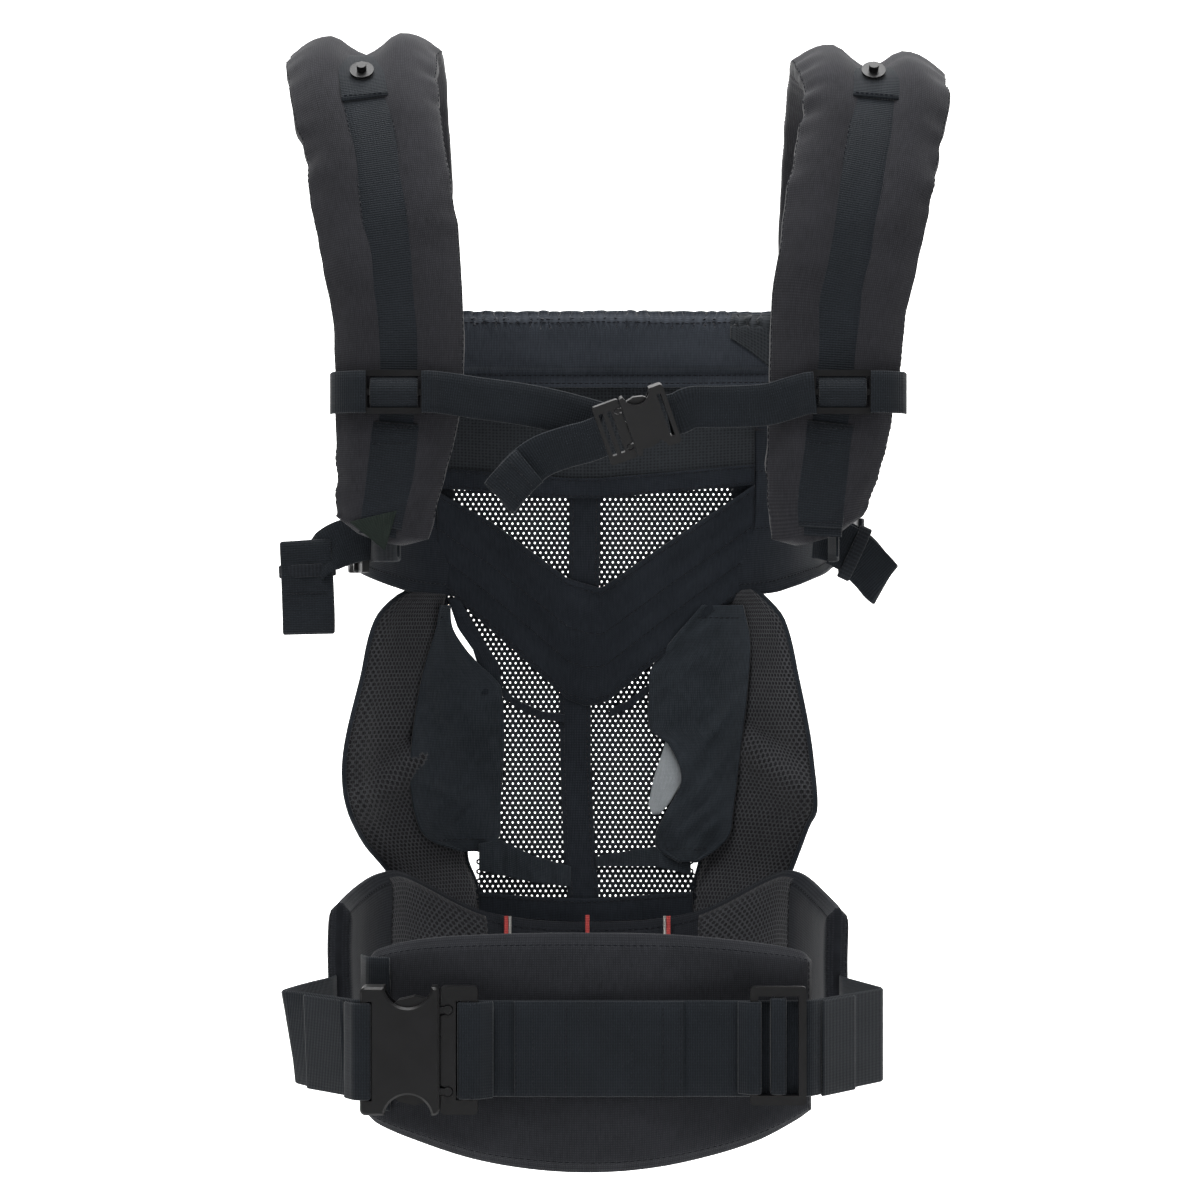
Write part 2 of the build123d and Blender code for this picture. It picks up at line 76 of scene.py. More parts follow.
def smooth(low, high, x):
    """Smooth step from 0 at low to 1 at high."""
    t = min(max((x - low) / (high - low), 0.0), 1.0)
    return t * t * (3 - 2 * t)


def spline(points, t):
    """Point at t, from 0 to 1, on a Catmull-Rom curve through the points, which may have any size."""
    last = len(points) - 1
    i = min(int(t * last), last - 1)
    f = t * last - i
    a, b, c, d = (points[min(max(k, 0), last)] for k in (i - 1, i, i + 1, i + 2))
    return tuple(
        0.5 * (2 * q + (r - p) * f + (2 * p - 5 * q + 4 * r - s) * f**2 + (3 * q - p - 3 * r + s) * f**3)
        for p, q, r, s in zip(a, b, c, d)
    )


def height(points, x, sharp=False):
    """Second coordinate of a curve through (x, y) points, listed with x rising."""
    if x <= points[0][0]:
        return points[0][1]
    for i, (a, b) in enumerate(zip(points, points[1:])):
        if x <= b[0]:
            t = (x - a[0]) / (b[0] - a[0])
            if sharp:
                return lerp(a[1], b[1], t)
            before = points[max(i - 1, 0)]
            after = points[min(i + 2, len(points) - 1)]
            m0 = (b[1] - before[1]) / (b[0] - before[0]) * (b[0] - a[0])
            m1 = (after[1] - a[1]) / (after[0] - a[0]) * (b[0] - a[0])
            return (
                a[1] * (2 * t**3 - 3 * t**2 + 1) + m0 * (t**3 - 2 * t**2 + t)
                + b[1] * (3 * t**2 - 2 * t**3) + m1 * (t**3 - t**2)
            )
    return points[-1][1]


def along(points, count, radius=0.0):
    """Evenly spaced points on a bent line, with its corners rounded off."""
    path = []
    corners = [Vector(p) for p in points]
    for i, corner in enumerate(corners):
        if radius and 0 < i < len(corners) - 1:
            into, out = corners[i - 1] - corner, corners[i + 1] - corner
            reach = min(radius, into.length / 2, out.length / 2)
            start, end = corner + into.normalized() * reach, corner + out.normalized() * reach
            for k in range(7):
                t = k / 6
                path.append(start * (1 - t) ** 2 + corner * (2 * t * (1 - t)) + end * t**2)
        else:
            path.append(corner)
    lengths = [0.0]
    for a, b in zip(path, path[1:]):
        lengths.append(lengths[-1] + (b - a).length)
    even = []
    k = 0
    for i in range(count + 1):
        want = lengths[-1] * i / count
        while k < len(path) - 2 and lengths[k + 1] < want:
            k += 1
        span = lengths[k + 1] - lengths[k]
        even.append(path[k].lerp(path[k + 1], (want - lengths[k]) / span if span else 0.0))
    return even


def waves(x, y, z=0.0, size=20.0):
    """Soft repeatable noise, from -1 to 1, with features about this many millimetres across."""
    return noise.noise(Vector((x / size, y / size, z / size + 3.7)))


# ---------------------------------------------------------------- mesh building


def add_object(name, points, faces, uvs, flat=False):
    """Mesh object from points in millimetres, faces, and one (u, v) in metres for each face corner."""
    mesh = bpy.data.meshes.new(name)
    mesh.from_pydata([Vector(p) * MM for p in points], [], faces)
    layer = mesh.uv_layers.new(name="UVMap")
    corners = [uv for face in uvs for uv in face]
    for loop, uv in zip(layer.data, corners):
        loop.uv = uv
    for polygon in mesh.polygons:
        polygon.use_smooth = not flat
    mesh.validate()
    obj = bpy.data.objects.new(name, mesh)
    bpy.context.scene.collection.objects.link(obj)
    return obj


def tube_rows(name, rows, closed=True):
    """Skin over rows of points: each row is a ring, and the first and last rings are closed with faces."""
    count = len(rows[0])
    middle = rows[len(rows) // 2]
    around = [0.0]
    for i in range(count):
        around.append(around[-1] + (Vector(middle[(i + 1) % count]) - Vector(middle[i])).length * MM)
    run = [0.0]
    for a, b in zip(rows, rows[1:]):
        run.append(run[-1] + (Vector(b[0]) - Vector(a[0])).length * MM)
    points = [p for row in rows for p in row]
    faces, uvs = [], []
    for j in range(len(rows) - 1):
        for i in range(count):
            k = (i + 1) % count
            faces.append((j * count + i, j * count + k, (j + 1) * count + k, (j + 1) * count + i))
            uvs.append(((around[i], run[j]), (around[i + 1], run[j]), (around[i + 1], run[j + 1]),
                        (around[i], run[j + 1])))
    if closed:
        top = (len(rows) - 1) * count
        faces.append(tuple(reversed(range(count))))
        uvs.append([(around[i], run[0]) for i in reversed(range(count))])
        faces.append(tuple(range(top, top + count)))
        uvs.append([(around[i], run[-1]) for i in range(count)])
    return add_object(name, points, faces, uvs)


class Cloth:
    """A padded or thin piece: a middle surface at(u, v) in mm, and a half thickness half(u, v) in mm."""

    def __init__(self, at, half, across, up):
        self.at, self.half = at, half
        self.across, self.up = across, up

    def normal(self, u, v):
        e = 0.004
        a, b = Vector(self.at(max(u - e, 0), v)), Vector(self.at(min(u + e, 1), v))
        c, d = Vector(self.at(u, max(v - e, 0))), Vector(self.at(u, min(v + e, 1)))
        return (b - a).cross(d - c).normalized()

    def surface(self, u, v, lift=0.0, face=1):
        """Point on the outside, on the camera's side (face 1) or the far side (face -1)."""
        return Vector(self.at(u, v)) + self.normal(u, v) * face * (self.half(u, v) + lift)

    def build(self, name):
        nu, nv = self.across, self.up
        grid = [[Vector(self.at(i / nu, j / nv)) for i in range(nu + 1)] for j in range(nv + 1)]
        normals = [[self.normal(i / nu, j / nv) for i in range(nu + 1)] for j in range(nv + 1)]
        us, vs = [0.0], [0.0]
        for i in range(nu):
            us.append(us[-1] + (grid[nv // 2][i + 1] - grid[nv // 2][i]).length * MM)
        for j in range(nv):
            vs.append(vs[-1] + (grid[j + 1][nu // 2] - grid[j][nu // 2]).length * MM)
        points, faces, uvs = [], [], []
        for face in (1, -1):
            for j in range(nv + 1):
                for i in range(nu + 1):
                    points.append(grid[j][i] + normals[j][i] * face * self.half(i / nu, j / nv))
        wide, layer = nu + 1, (nu + 1) * (nv + 1)
        for j in range(nv):
            for i in range(nu):
                quad = (j * wide + i, j * wide + i + 1, (j + 1) * wide + i + 1, (j + 1) * wide + i)
                uv = ((us[i], vs[j]), (us[i + 1], vs[j]), (us[i + 1], vs[j + 1]), (us[i], vs[j + 1]))
                faces.append(quad)
                uvs.append(uv)
                faces.append(tuple(layer + q for q in reversed(quad)))
                uvs.append(tuple(reversed(uv)))
        edge = [(i, 0) for i in range(nu)] + [(nu, j) for j in range(nv)]
        edge += [(i, nv) for i in range(nu, 0, -1)] + [(0, j) for j in range(nv, 0, -1)]
        for (i, j), (k, m) in zip(edge, edge[1:] + edge[:1]):
            faces.append((j * wide + i, layer + j * wide + i, layer + m * wide + k, m * wide + k))
            uvs.append(((us[i], vs[j]), (us[i], vs[j]), (us[k], vs[m]), (us[k], vs[m])))
        return add_object(name, points, faces, uvs)


def ribbon(name, path, width_way, width, thick):
    """Webbing along a path: a flat strap with rounded edges. width_way(t) is its width's direction at t."""
    rows = []
    half, deep = width / 2, thick / 2
    lower = [(-half + deep, -deep), (-half * 0.5, -deep), (half * 0.5, -deep), (half - deep, -deep)]
    profile = [(-half, 0), *lower, (half, 0), *((a, -b) for a, b in reversed(lower))]
    for i, point in enumerate(path):
        tangent = (path[min(i + 1, len(path) - 1)] - path[max(i - 1, 0)]).normalized()
        wide = Vector(width_way(i / (len(path) - 1)))
        wide = (wide - tangent * wide.dot(tangent)).normalized()
        out = tangent.cross(wide)
        rows.append([point + wide * a + out * b for a, b in profile])
    obj = tube_rows(name, rows)
    # the width runs along V and the length along U, so one webbing material suits every strap
    run = [0.0]
    for a, b in zip(path, path[1:]):
        run.append(run[-1] + (b - a).length * MM)
    place = [0.0, 0.02, 0.25, 0.75, 0.98, 1.0, 0.98, 0.75, 0.25, 0.02]
    layer = obj.data.uv_layers[0].data
    for polygon in obj.data.polygons:
        for loop in polygon.loop_indices:
            vertex = obj.data.loops[loop].vertex_index
            layer[loop].uv = (run[vertex // 10], place[vertex % 10] * width * MM)
    return obj


def steady(x, y, z):
    """Width direction that stays the same all along a ribbon."""
    return lambda t: (x, y, z)


ACROSS, UPRIGHT = steady(1, 0, 0), steady(0, 0, 1)
NEAR = Vector((0, -1, 0))


def upright(points, count, low, high, radius=3.0):
    """Path for webbing that stands on edge, along a plan line."""
    middle = (low + high) / 2
    return along([(x, y, middle) for x, y in points], count, radius)


def cord_mesh(name, path, radius, sides=8):
    """Round piping or thread along a path."""
    rows = []
    for i, point in enumerate(path):
        tangent = (path[min(i + 1, len(path) - 1)] - path[max(i - 1, 0)]).normalized()
        side = tangent.cross(Vector((0.31, 0.87, 0.38))).normalized()
        out = tangent.cross(side)
        ring = []
        for k in range(sides):
            angle = 2 * math.pi * k / sides
            ring.append(point + (side * math.cos(angle) + out * math.sin(angle)) * radius)
        rows.append(ring)
    return tube_rows(name, rows)


def stitches(name, lines, pitch=3.4, length=2.5, radius=0.34):
    """Sewing thread: one small spindle for each stitch, along lines of (point, normal)."""
    points, faces, uvs = [], [], []
    for line in lines:
        run = [0.0]
        for (a, _), (b, _) in zip(line, line[1:]):
            run.append(run[-1] + (b - a).length)
        k = 0
        for n in range(int(run[-1] / pitch)):
            at = (n + 0.5) * pitch
            while k < len(line) - 2 and run[k + 1] < at:
                k += 1
            (a, na), (b, nb) = line[k], line[k + 1]
            point, way = a.lerp(b, (at - run[k]) / max(run[k + 1] - run[k], 1e-6)), (b - a).normalized()
            up = (na + nb).normalized()
            side = way.cross(up)
            base = len(points)
            for reach, size in ((-0.5, 0.25), (-0.25, 1.0), (0.25, 1.0), (0.5, 0.25)):
                for out, across in ((1, 0), (0, 1), (-1, 0), (0, -1)):
                    points.append(point + way * length * reach + (up * out + side * across) * radius * size)
            for j in range(3):
                for i in range(4):
                    m = (i + 1) % 4
                    ring = base + j * 4
                    faces.append((ring + i, ring + m, ring + 4 + m, ring + 4 + i))
            faces.append((base, base + 3, base + 2, base + 1))
            faces.append((base + 12, base + 13, base + 14, base + 15))
            uvs += [((0, 0),) * 4] * 14
    return add_object(name, points, faces, uvs)


def seam(cloth, route, count=60, lift=0.1, face=1):
    """Line of (point, normal) on a cloth's outside, along a route of (u, v) corners."""
    line = []
    for p in along([(u, v, 0) for u, v in route], count):
        u, v = min(max(p.x, 0.0), 1.0), min(max(p.y, 0.0), 1.0)
        line.append((cloth.surface(u, v, lift, face), cloth.normal(u, v) * face))
    return line


def net(name, place, columns, rows, pitch, hole, inside, thick=0.0, start=(0.0, 0.0)):
    """
    Knitted mesh as real holes: six-sided cells in a flat plan, each with a hole in it. place(x, y, lift)
    puts a plan point in space, and inside(x, y) says which cells belong to the piece.
    """
    points, faces, uvs, known, rim = [], [], [], {}, {}

    def corner(x, y, lift):
        key = (round(x * 50), round(y * 50), round(lift * 50))
        if key not in known:
            known[key] = len(points)
            points.append(place(x, y, lift))
        return known[key]

    radius = pitch / math.sqrt(3)
    for j in range(rows):
        for i in range(columns):
            cx = start[0] + (i + 0.5 * (j % 2)) * pitch
            cy = start[1] + j * pitch * math.sqrt(3) / 2
            if not inside(cx, cy):
                continue
            outer, inner = [], []
            for k in range(6):
                angle = math.radians(60 * k + 30)
                c, s = math.cos(angle), math.sin(angle)
                outer.append((cx + c * radius, cy + s * radius))
                inner.append((cx + c * radius * hole, cy + s * radius * hole * 1.12))
            for k in range(6):
                m = (k + 1) % 6
                ring = (outer[k], outer[m], inner[m], inner[k])
                uv = tuple((x * MM, y * MM) for x, y in ring)
                faces.append(tuple(corner(x, y, 0.0) for x, y in ring))
                uvs.append(uv)
                edge = frozenset(faces[-1][:2])
                rim[edge] = None if edge in rim else (outer[m], outer[k])
                if thick:
                    faces.append(tuple(corner(x, y, -thick) for x, y in reversed(ring)))
                    uvs.append(tuple(reversed(uv)))
                    wall = [(*inner[k], 0.0), (*inner[m], 0.0), (*inner[m], -thick), (*inner[k], -thick)]
                    faces.append(tuple(corner(*w) for w in wall))
                    uvs.append(tuple((w[0] * MM, w[1] * MM) for w in wall))
    for edge in rim.values():
        if thick and edge:
            wall = [(*edge[0], 0.0), (*edge[1], 0.0), (*edge[1], -thick), (*edge[0], -thick)]
            faces.append(tuple(corner(*w) for w in wall))
            uvs.append(tuple((w[0] * MM, w[1] * MM) for w in wall))
    return add_object(name, points, faces, uvs)


# ---------------------------------------------------------------- materials


def new_material(name, colour, rough=0.85, sheen=0.0, specular=0.3):
    material = bpy.data.materials.new(name)
    material.use_nodes = True
    nodes = material.node_tree.nodes
    shader = nodes["Principled BSDF"]
    shader.inputs["Base Color"].default_value = (*colour, 1)
    shader.inputs["Roughness"].default_value = rough
    shader.inputs["Sheen Weight"].default_value = sheen
    shader.inputs["Sheen Roughness"].default_value = 0.45
    shader.inputs["Specular IOR Level"].default_value = specular
    return material, nodes, material.node_tree.links, shader


def uv_scaled(nodes, links, scale):
    """UV coordinates, which are in metres, scaled for a texture."""
    uv = nodes.new("ShaderNodeUVMap")
    uv.uv_map = "UVMap"
    mapping = nodes.new("ShaderNodeMapping")
    mapping.inputs["Scale"].default_value = scale
    links.new(uv.outputs["UV"], mapping.inputs["Vector"])
    return mapping.outputs["Vector"]


def wave(nodes, links, vector, scale, direction, distortion=0.0, profile="SIN"):
    texture = nodes.new("ShaderNodeTexWave")
    texture.wave_type = "BANDS"
    texture.bands_direction = direction
    texture.wave_profile = profile
    texture.inputs["Scale"].default_value = scale
    texture.inputs["Distortion"].default_value = distortion
    texture.inputs["Detail"].default_value = 1.0
    texture.inputs["Detail Scale"].default_value = 2.0
    links.new(vector, texture.inputs["Vector"])
    return texture.outputs["Fac"]


def repeat(pitch):
    """Wave texture scale that repeats once in this many millimetres of UV."""
    return math.pi / 10 / (pitch * MM)


def cloudy(nodes, links, vector, scale, detail=3.0):
    texture = nodes.new("ShaderNodeTexNoise")
    texture.inputs["Scale"].default_value = scale
    texture.inputs["Detail"].default_value = detail
    links.new(vector, texture.inputs["Vector"])
    return texture.outputs["Fac"]


def maths(nodes, links, operation, a, b):
    node = nodes.new("ShaderNodeMath")
    node.operation = operation
    for socket, value in zip(node.inputs, (a, b)):
        if isinstance(value, (int, float)):
            socket.default_value = value
        else:
            links.new(value, socket)
    return node.outputs["Value"]


def mixed(nodes, links, *parts):
    """Sum of textures, each given with its weight."""
    total = 0.0
    for texture, weight in parts:
        total = maths(nodes, links, "ADD", total, maths(nodes, links, "MULTIPLY", texture, weight))
    return total


def tint(nodes, links, shader, factor, dark, light, low=0.3, high=0.7):
    """Colour variation between two shades, driven by a texture."""
    ramp = nodes.new("ShaderNodeValToRGB")
    ramp.color_ramp.elements[0].position = low
    ramp.color_ramp.elements[1].position = high
    ramp.color_ramp.elements[0].color = (*dark, 1)
    ramp.color_ramp.elements[1].color = (*light, 1)
    links.new(factor, ramp.inputs["Fac"])
    links.new(ramp.outputs["Color"], shader.inputs["Base Color"])


def bump(nodes, links, shader, factor, strength, distance):
    node = nodes.new("ShaderNodeBump")
    node.inputs["Strength"].default_value = strength
    node.inputs["Distance"].default_value = distance
    links.new(factor, node.inputs["Height"])
    links.new(node.outputs["Normal"], shader.inputs["Normal"])


def woven(name, dark, light, thread=1.1, sheen=0.25, crease=0.25):
    """Plain-woven cotton: warp and weft threads, slubs, and soft patches of wear."""
    material, nodes, links, shader = new_material(name, light, 0.92, sheen, 0.12)
    metres = uv_scaled(nodes, links, (1, 1, 1))
    warp = wave(nodes, links, metres, repeat(thread), "X", 1.2)
    weft = wave(nodes, links, metres, repeat(thread), "Y", 1.2)
    weave = maths(nodes, links, "MULTIPLY", warp, weft)
    slub = cloudy(nodes, links, uv_scaled(nodes, links, (900, 140, 1)), 1.0, 2.0)
    worn = cloudy(nodes, links, metres, 22.0, 4.0)
    mix = mixed(nodes, links, (weave, 0.30), (slub, 0.32), (worn, 0.38))
    tint(nodes, links, shader, mix, dark, light, 0.25, 0.62)
    soft = cloudy(nodes, links, metres, 60.0, 3.0)
    relief = mixed(nodes, links, (weave, 0.5), (slub, 0.5), (soft, crease * 6))
    bump(nodes, links, shader, relief, 0.55, 0.0004)
    return material


def webbing_material(name, dark, light, rib=1.25):
    """Woven webbing: ribs across its width and fine warp lines along it."""
    material, nodes, links, shader = new_material(name, light, 0.78, 0.08, 0.18)
    metres = uv_scaled(nodes, links, (1, 1, 1))
    ribs = wave(nodes, links, metres, repeat(rib), "X", 0.6)
    lines = wave(nodes, links, metres, repeat(1.5), "Y", 0.3)
    worn = cloudy(nodes, links, metres, 30.0, 4.0)
    mix = mixed(nodes, links, (ribs, 0.32), (lines, 0.12), (worn, 0.45))
    tint(nodes, links, shader, mix, dark, light, 0.2, 0.75)
    relief = mixed(nodes, links, (ribs, 1.0), (lines, 0.5))
    bump(nodes, links, shader, relief, 0.6, 0.0003)
    return material


def knitted(name, dark, light, pitch=2.2):
    """Close-knitted mesh cloth seen as a pattern of small dark holes."""
    material, nodes, links, shader = new_material(name, light, 0.9, 0.15, 0.25)
    texture = nodes.new("ShaderNodeTexVoronoi")
    texture.inputs["Scale"].default_value = 1.0
    texture.inputs["Randomness"].default_value = 0.15
    links.new(uv_scaled(nodes, links, (1000 / pitch, 1000 / pitch * 1.1, 1)), texture.inputs["Vector"])
    worn = cloudy(nodes, links, uv_scaled(nodes, links, (1, 1, 1)), 25.0, 3.0)
    mix = mixed(nodes, links, (texture.outputs["Distance"], 1.0), (worn, 0.3))
    tint(nodes, links, shader, mix, dark, light, 0.30, 0.62)
    bump(nodes, links, shader, texture.outputs["Distance"], 0.8, 0.0005)
    return material


def moulded(name, colour, rough=0.36):
    """Moulded plastic with a fine spark-eroded grain and faint handling marks."""
    material, nodes, links, shader = new_material(name, colour, rough, 0.0, 0.28)
    place = nodes.new("ShaderNodeTexCoord").outputs["Object"]
    grain = cloudy(nodes, links, place, 2600.0, 2.0)
    marks = cloudy(nodes, links, place, 90.0, 5.0)
    ramp = nodes.new("ShaderNodeMapRange")
    ramp.inputs["To Min"].default_value = rough - 0.08
    ramp.inputs["To Max"].default_value = rough + 0.16
    links.new(marks, ramp.inputs["Value"])
    links.new(ramp.outputs["Result"], shader.inputs["Roughness"])
    dark, light = (tuple(c * share for c in colour) for share in (0.8, 1.25))
    tint(nodes, links, shader, marks, dark, light, 0.35, 0.65)
    bump(nodes, links, shader, grain, 0.25, 0.00015)
    return material


def plain_thread(name, colour):
    material, nodes, links, shader = new_material(name, colour, 0.85, 0.12, 0.05)
    twist = cloudy(nodes, links, nodes.new("ShaderNodeTexCoord").outputs["Object"], 1500.0, 1.0)
    dark, light = (tuple(c * share for c in colour) for share in (0.7, 1.4))
    tint(nodes, links, shader, twist, dark, light)
    return material


STRAP_CLOTH = woven("charcoal_cotton", (0.011, 0.011, 0.013), (0.029, 0.029, 0.034), 1.2, 0.14)
NAVY_CLOTH = woven("navy_cotton", (0.007, 0.009, 0.012), (0.020, 0.024, 0.031), 1.0, 0.12)
# the navy cotton made lighter for the head support: painted top light on the padded roll
TOPLIT_NAVY_CLOTH = woven("painted_toplight_head_cotton", (0.015, 0.018, 0.023), (0.038, 0.044, 0.055), 1.0, 0.18)
BAND_CLOTH = woven("band_cotton", (0.007, 0.008, 0.010), (0.019, 0.021, 0.026), 1.2, 0.08)
PAD_CLOTH = woven("pad_cotton", (0.010, 0.011, 0.013), (0.026, 0.027, 0.032), 1.2, 0.12)
LEAF_CLOTH = woven("leaf_cotton", (0.010, 0.013, 0.016), (0.030, 0.036, 0.044), 1.0, 0.12, 0.5)
WEBBING = webbing_material("navy_webbing", (0.0026, 0.0042, 0.006), (0.011, 0.0145, 0.0198))
ELASTIC = webbing_material("woven_elastic", (0.004, 0.005, 0.007), (0.013, 0.016, 0.021), 2.0)
NET = woven("mesh_thread", (0.007, 0.009, 0.012), (0.018, 0.021, 0.026), 0.8, 0.04, 0.0)
WING_NET = woven("spacer_thread", (0.022, 0.023, 0.026), (0.064, 0.065, 0.070), 0.8, 0.16, 0.0)
GREEN_LINING = woven("green_lining", (0.008, 0.012, 0.010), (0.020, 0.027, 0.023), 0.8, 0.08, 0.3)
CORE = knitted("spacer_core", (0.003, 0.003, 0.004), (0.009, 0.009, 0.011), 3.0)
KNIT = knitted("close_knit", (0.006, 0.008, 0.010), (0.020, 0.023, 0.027), 2.1)
PLASTIC = moulded("black_acetal", (0.0035, 0.0035, 0.004), 0.36)
STUD = moulded("stud_plastic", (0.004, 0.004, 0.0045), 0.38)
# the spacer mesh's pitch and its holes as a share of the pitch
WING_PITCH = 2.7
WING_HOLE = 0.61
THREAD = plain_thread("thread", (0.006, 0.007, 0.010))
MARKER = webbing_material("marker_tape", (0.30, 0.03, 0.03), (0.60, 0.10, 0.09), 1.0)
# pale grey for the sheet in the gap at the right flap's inner edge: painted shade of that gap
GAP_SHADE_GREY = woven("painted_gap_shade", (0.22, 0.24, 0.25), (0.34, 0.36, 0.38), 0.8, 0.1, 0.2)
MARKER_EDGE = webbing_material("marker_edge", (0.50, 0.48, 0.45), (0.80, 0.78, 0.74), 1.0)


def dress(obj, material, body, slot):
    obj.data.materials.append(material)
    if body:
        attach(obj, body)
    return obj


def sew(name, lines, body="carrier", slot="navy_cotton", pitch=3.4, length=2.5):
    """Sewing thread along lines of (point, normal), in its colour and on its body."""
    return dress(stitches(name, lines, pitch, length), THREAD, body, slot)


def web(name, path, way, width, thick, body="carrier"):
    """Webbing along a path, in its colour and on its body."""
    return dress(ribbon(name, path, way, width, thick), WEBBING, body, "webbing")


def border(u, v):
    """Closed route round a cloth, this share of its size in from its edges."""
    return [(u, v), (u, 1 - v), (1 - u, 1 - v), (1 - u, v), (u, v)]


# ---------------------------------------------------------------- shoulder straps

STRAP_WEB = 25.0
CHEST_WEB = 22.0
BELT_WEB = 50.0
STRAP_LENGTH = 640.0
# middle line of the matching pair, from the yoke wing over the shoulder to the lower end:
# x, y, z, width and thickness
STRAP = [
    (126.0, 108.0, 352.0, 58.0, 14.0), (127.0, 108.0, 378.0, 60.0, 17.0), (128.5, 106.0, 408.0, 64.0, 19.0),
    (130.0, 103.0, 437.0, 68.0, 20.0), (133.0, 89.0, 477.0, 73.0, 21.0), (136.0, 66.0, 508.0, 78.0, 22.0),
    (138.0, 36.0, 529.0, 82.0, 22.0), (139.0, 2.0, 537.0, 84.0, 22.0), (138.0, -29.0, 528.0, 85.0, 22.0),
    (137.0, -54.0, 505.0, 84.0, 22.0), (133.0, -71.0, 477.0, 81.0, 22.0), (128.0, -83.0, 445.0, 78.0, 21.0),
    (124.0, -88.0, 415.0, 73.0, 20.5), (120.0, -90.0, 385.0, 68.0, 20.0), (117.0, -90.0, 335.0, 66.0, 20.0),
    (116.5, -89.0, 295.0, 60.0, 18.0), (117.0, -87.0, 264.0, 49.0, 13.0),
]
UPPER_SHIFT = 15.0
END_SHIFT = 7.0
# how each worn strap differs from the matching pair: t along it, shift to the right, extra width
STRAP_FIT = {
    -1: [(0.45, 0, 0), (0.5, -1.9, -2.6), (0.56, 0, -4), (0.625, 3.1, -5.5), (0.69, 3.9, -3), (0.75, 4.2, 0),
         (0.81, 4, 1), (0.875, 2.6, 0), (0.94, 2, -4), (1, 0, 0)],
    1: [(0.45, 0, 0), (0.5, 0.5, -3), (0.56, 1.9, -6), (0.625, 1, -4.5), (0.69, -1.5, -2), (0.75, -2.8, 0),
        (0.81, -4.5, 3), (0.875, -3.2, 0), (0.94, -3.5, -2), (1, -4, -2)],
}
# the crest's drop and its tilt down to the outside
STRAP_DROP = {-1: 0.0, 1: 5.5}
STRAP_TILT = {-1: 3.0, 1: 6.5}
# t at which the strap's webbing starts, under the press stud
WEB_FROM = 0.497
# power of the rounded box that is the padding's cross-section: 2 would be an ellipse
BOXINESS = 2.6


def crest(t):
    """1 at the top of the arch over the shoulder, 0 away from it."""
    return smooth(0.25, 0.42, t) * (1 - smooth(0.48, 0.56, t))


def strap_frame(side, t):
    """Centre, widthwise and outward directions, width and thickness of a strap at t along it."""
    x, y, z, width, thick = spline(STRAP, t)
    e = 0.01
    before, after = spline(STRAP, max(t - e, 0)), spline(STRAP, min(t + e, 1))
    tangent = Vector((side * (after[0] - before[0]), after[1] - before[1], after[2] - before[2])).normalized()
    across = (Vector((1, 0, 0)) - tangent * tangent.x).normalized()
    out = tangent.cross(across)
    fit = STRAP_FIT[side]
    shift = lerp(UPPER_SHIFT, END_SHIFT, smooth(0.82, 1.0, t)) + height([(a, b) for a, b, _ in fit], t)
    width += height([(a, c) for a, _, c in fit], t)
    z -= STRAP_DROP[side] * crest(t)
    centre = Vector((shift + side * x, y, z))
    if out.dot(centre - Vector((centre.x, 0, 400))) < 0:
        out = -out
    return centre, across, out, width, thick


def strap_skin(side, t, angle):
    """Point on the padded strap: two stuffed lobes with a sewn groove between them."""
    centre, across, out, width, thick = strap_frame(side, t)
    c, s = math.cos(angle), math.sin(angle)
    swell = (abs(c) ** BOXINESS + abs(s) ** BOXINESS) ** (-1 / BOXINESS)
    a, b = c * swell * width / 2, s * swell * thick / 2
    place = abs(a) / (width / 2)
    top = crest(t)
    near = smooth(0.42, 0.56, t)
    lobe = (2.3 + 1.6 * top) * math.sin(math.pi * min(max((place - 0.18) / 0.72, 0), 1))
    groove = -2.4 * lerp(0.5, 1.0, near) * (1 - smooth(0.10, 0.46, place))
    groove -= 6.5 * top * max(0.0, 1 - place / 0.44) ** 1.3
    if s > 0:
        b += (lobe + groove) * smooth(0.0, 0.25, s)
    else:
        b -= 0.6 * (lobe + groove) * smooth(0.0, 0.25, -s)
    long = t * STRAP_LENGTH
    ripple = waves(long, a * 0.35 + side * 50, s * 9, 13.0) * smooth(0.55, 0.95, place)
    folds = waves(long, a, side * 31, 34.0)
    worn = 0.4 + 1.3 * smooth(0.38, 0.56, t) * (1 - smooth(0.62, 0.75, t)) + 0.9 * smooth(0.80, 0.95, t)
    dent = 1.3 * ripple * worn
    b *= 1 + 0.10 * folds
    a += dent * (1 if a > 0 else -1) + 0.8 * waves(long, side * 90, 0, 45.0)
    b += dent * 0.8 * (1 if s > 0 else -1)
    b += 0.5 * smooth(0.93, 1.0, place) * (1 if s > 0 else -1)
    b -= STRAP_TILT[side] * top * (side * a / width + 0.5)
    rise = 12.0 * smooth(0.93, 1.0, t) * max(side * a / width + 0.5, 0.0) ** 1.5
    return centre + across * a + out * b + Vector((0, 0, rise))


